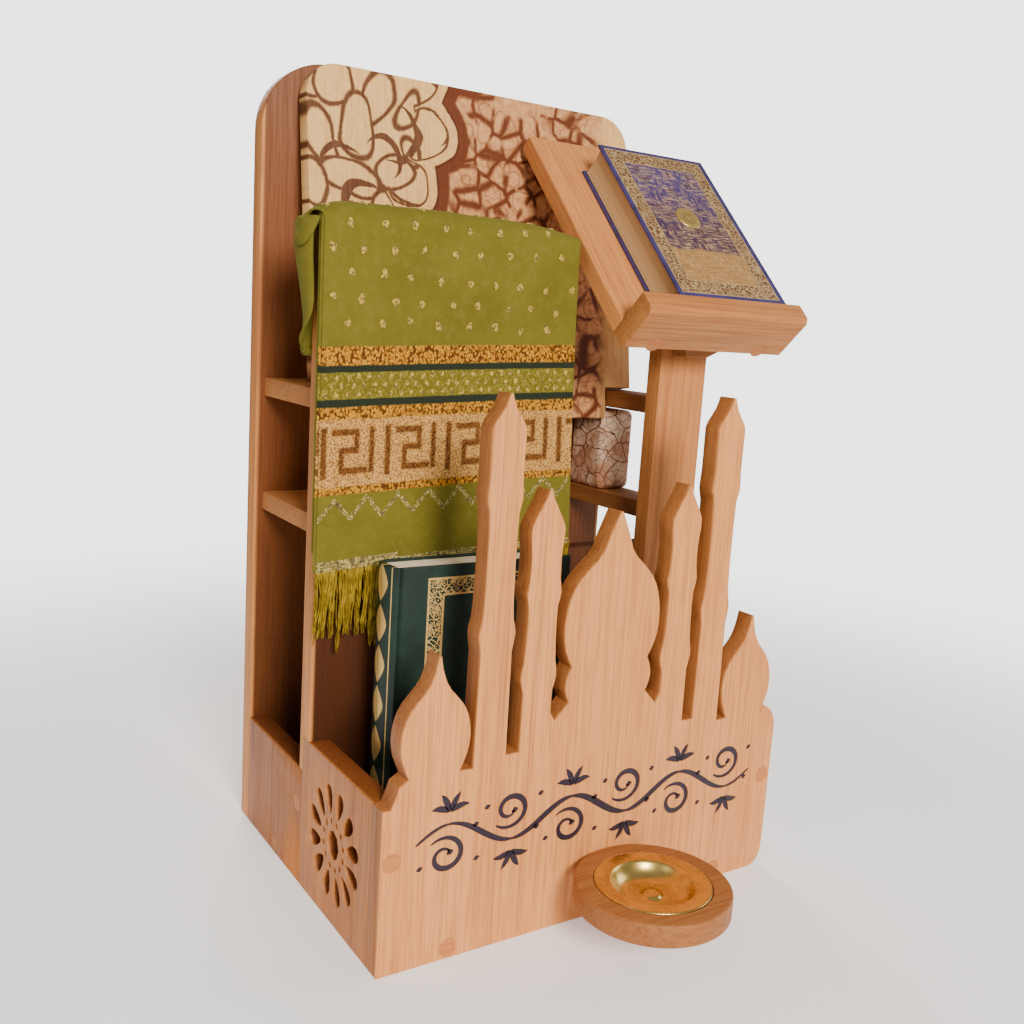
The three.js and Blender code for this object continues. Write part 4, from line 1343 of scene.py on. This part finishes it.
def boardLook():
    look = Look("patterned_board_scroll", {"Specular IOR Level": 0.25})
    x, _, z = look.parts(look.place())
    flat = look.joined(x, z)
    sway = look.cloud(flat, 22, 1)
    sway2 = look.cloud(look.vector("ADD", flat, (3.1, 1.7, 0)), 22, 1)
    fray = look.cloud(flat, 190, 3, 0.7)
    frayed = (fray - 0.5) * 0.0022
    plane = look.joined(x + (sway - 0.5) * 0.020 + frayed, z + (sway2 - 0.5) * 0.020 + frayed)
    ink, inside, outline, body = burnt(look, plane)
    cream, rough, streak = creamWood(look, x, z)
    # pebbled ground beyond the medallion
    edge = look.cells(plane, 44, "DISTANCE_TO_EDGE", spread=0.9)
    blob = look.cells(plane, 44, spread=0.9)
    small = look.cells(plane, 120, "DISTANCE_TO_EDGE")
    shade = look.cloud(flat, 36, 3)
    gap = 1 - edge.rise(0.03, 0.15)
    pebble = look.mix(rough.rise(0.3, 0.7) * 0.6, tint(224, 164, 108), tint(176, 108, 62))
    pebble = look.mix((1 - small.rise(0.02, 0.07)) * shade.rise(0.4, 0.6) * 0.7, pebble, tint(150, 86, 52))
    dark = look.mix(streak, tint(84, 36, 12), tint(118, 58, 26))
    ground = look.mix(gap * shade.rise(0.36, 0.5), pebble, dark)
    ground = look.mix(abs(blob - 0.42).rise(0.0, 0.05), look.mix(0.5, ground, dark), ground)
    ground = look.mix(1 - body.rise(0.010, 0.013), ground, dark)
    right = boardScroll["marginRight"] * mm
    margin = x.rise(right - 0.016, right + 0.004)
    ground = look.mix(margin, ground, cream)
    scorch = (1 - abs(body + 0.005).rise(0.002, 0.009)) * rough.rise(0.3, 0.7) * 0.35
    colour = look.mix(scorch, cream, tint(206, 140, 78))
    colour = look.mix(inside, ground, colour)
    mark = (ink * inside).most(outline * (1 - margin))
    burn = look.mix(rough, tint(86, 28, 8), tint(58, 18, 5))
    colour = look.mix(mark * (0.85 + 0.15 * streak), colour, burn)
    height = rough * 0.5 - mark - gap * (1 - inside) * (1 - margin)
    return look.finish(colour, 0.6 + 0.15 * rough, height, 0.0007, 0.6)


def crackleLook():  # pale skin with fine brown veins
    look = Look("keepsake_crackle", {"Specular IOR Level": 0.3})
    place = look.place()
    bend = look.cloud(place, 60, 2)
    moved = look.vector("ADD", place, look.joined(bend * 0.012, bend * -0.01, bend * 0.012))
    vein = look.cells(moved, 105, "DISTANCE_TO_EDGE")
    coarse = look.cells(moved, 42, "DISTANCE_TO_EDGE")
    cloud = look.cloud(place, 34, 3)
    cream = look.mix(cloud.rise(0.35, 0.65), tint(240, 206, 172), tint(196, 140, 104))
    marks = (1 - vein.rise(0.015, 0.06)) * 0.7
    marks = marks.most(1 - coarse.rise(0.012, 0.035))
    colour = look.mix(marks, cream, tint(122, 66, 38))
    return look.finish(colour, 0.5 + 0.2 * cloud, cloud * 0.4 - marks, 0.0005, 0.6)


paint(nodes["patterned_board"], boardLook())
easeEdges(nodes["patterned_board"], 1.4 * mm)


def roundedBox(name, node, radius, material):
    low, high = (Vector(corner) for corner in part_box(node))
    work = bmesh.new()
    bmesh.ops.create_cube(work, size=1.0)
    for vertex in work.verts:
        for axis in range(3):
            vertex.co[axis] = (low[axis] + high[axis]) / 2 + vertex.co[axis] * (high[axis] - low[axis])
    bmesh.ops.bevel(work, geom=work.edges[:], offset=radius, segments=6, profile=0.5, affect="EDGES")
    points = [vertex.co.copy() for vertex in work.verts]
    faces = [tuple(vertex.index for vertex in face.verts) for face in work.faces]
    work.free()
    return newPiece(name, points, faces, material)


keepsake = roundedBox("keepsake_case", "keepsake_box", 7 * mm, crackleLook())
fit(keepsake, "keepsake", "pattern_wood", "keepsake_box")
print("patterned pieces finished")


# floor, lights and camera
studio = {"floorHalf": 1.6, "fade": (0.5, 1.5), "glow": 0.30, "onPiece": 0.30, "seen": 3.2}
floorLook = Look("floor_white", {"Specular IOR Level": 0.1, "Emission Strength": studio["glow"],
                                 "Emission Color": (1, 0.99, 0.98, 1)})
floorTone = floorLook.cloud(floorLook.place(), 3, 2)
floorColour = floorLook.mix(floorTone, tint(248, 248, 248), tint(245, 245, 245))
floorMaterial = floorLook.finish(floorColour, 0.8 + 0.1 * floorTone)
floorReach = floorLook.vector("LENGTH", floorLook.place(), out=1)
fade = 1 - floorReach.rise(*studio["fade"])  # into the backdrop
floorLook.join(floorLook.shader.inputs["Alpha"], fade)
half = studio["floorHalf"]
floorCorners = [(-half, -half, 0), (half, -half, 0), (half, half, 0), (-half, half, 0)]
floor = newPiece("floor", floorCorners, [(0, 1, 2, 3)], floorMaterial)

world = bpy.data.worlds.new("studio")
bpy.context.scene.world = world
world.use_nodes = True
sky = world.node_tree.nodes["Background"]
sky.inputs["Color"].default_value = (1.0, 0.985, 0.97, 1)
rays = world.node_tree.nodes.new("ShaderNodeLightPath")
spread = world.node_tree.nodes.new("ShaderNodeMapRange")  # soft light on the piece, a paler sky behind it
spread.inputs["To Min"].default_value = studio["onPiece"]
spread.inputs["To Max"].default_value = studio["seen"]
world.node_tree.links.new(rays.outputs["Is Camera Ray"], spread.inputs["Value"])
world.node_tree.links.new(spread.outputs["Result"], sky.inputs["Strength"])


def areaLight(name, place, target, size, power, colour=(1, 1, 1)):
    lamp = bpy.data.lights.new(name, "AREA")
    lamp.shape = "DISK"
    lamp.size = size
    lamp.energy = power
    lamp.color = colour
    piece = bpy.data.objects.new(name, lamp)
    bpy.context.scene.collection.objects.link(piece)
    piece.location = place
    piece.rotation_euler = (Vector(target) - Vector(place)).to_track_quat("-Z", "Y").to_euler()


areaLight("key", (-0.55, -2.3, 1.25), (0, 0, 0.33), 0.8, 92, (1, 0.94, 0.87))
areaLight("side", (-2.3, -0.7, 1.2), (0, 0, 0.3), 1.4, 6, (1, 0.95, 0.9))
areaLight("right", (2.4, -0.5, 1.2), (0, 0, 0.35), 1.4, 16, (1, 0.97, 0.94))
areaLight("back", (0.5, 2.5, 1.5), (0, 0, 0.35), 1.6, 78, (1, 0.96, 0.92))

view = {
    "place": (-517.1, -785.5, 480.3), "yaw": 33.1443, "pitch": 10.0481, "roll": -3.6706,
    "lens": 37.267, "sensor": 36,
}
yaw, pitch, roll = (math.radians(view[key]) for key in ("yaw", "pitch", "roll"))
forward = Vector((math.sin(yaw) * math.cos(pitch), math.cos(yaw) * math.cos(pitch), -math.sin(pitch)))
level = Vector((math.cos(yaw), -math.sin(yaw), 0))
down = forward.cross(level)
right = level * math.cos(roll) + down * math.sin(roll)
up = level * math.sin(roll) - down * math.cos(roll)
camera = bpy.data.objects.new("camera", bpy.data.cameras.new("camera"))
bpy.context.scene.collection.objects.link(camera)
turned = Matrix((right, up, -forward)).transposed().to_4x4()
camera.matrix_world = Matrix.Translation(Vector(view["place"]) * mm) @ turned
camera.data.lens = view["lens"]
camera.data.sensor_width = view["sensor"]
bpy.context.scene.camera = camera
print("camera set")
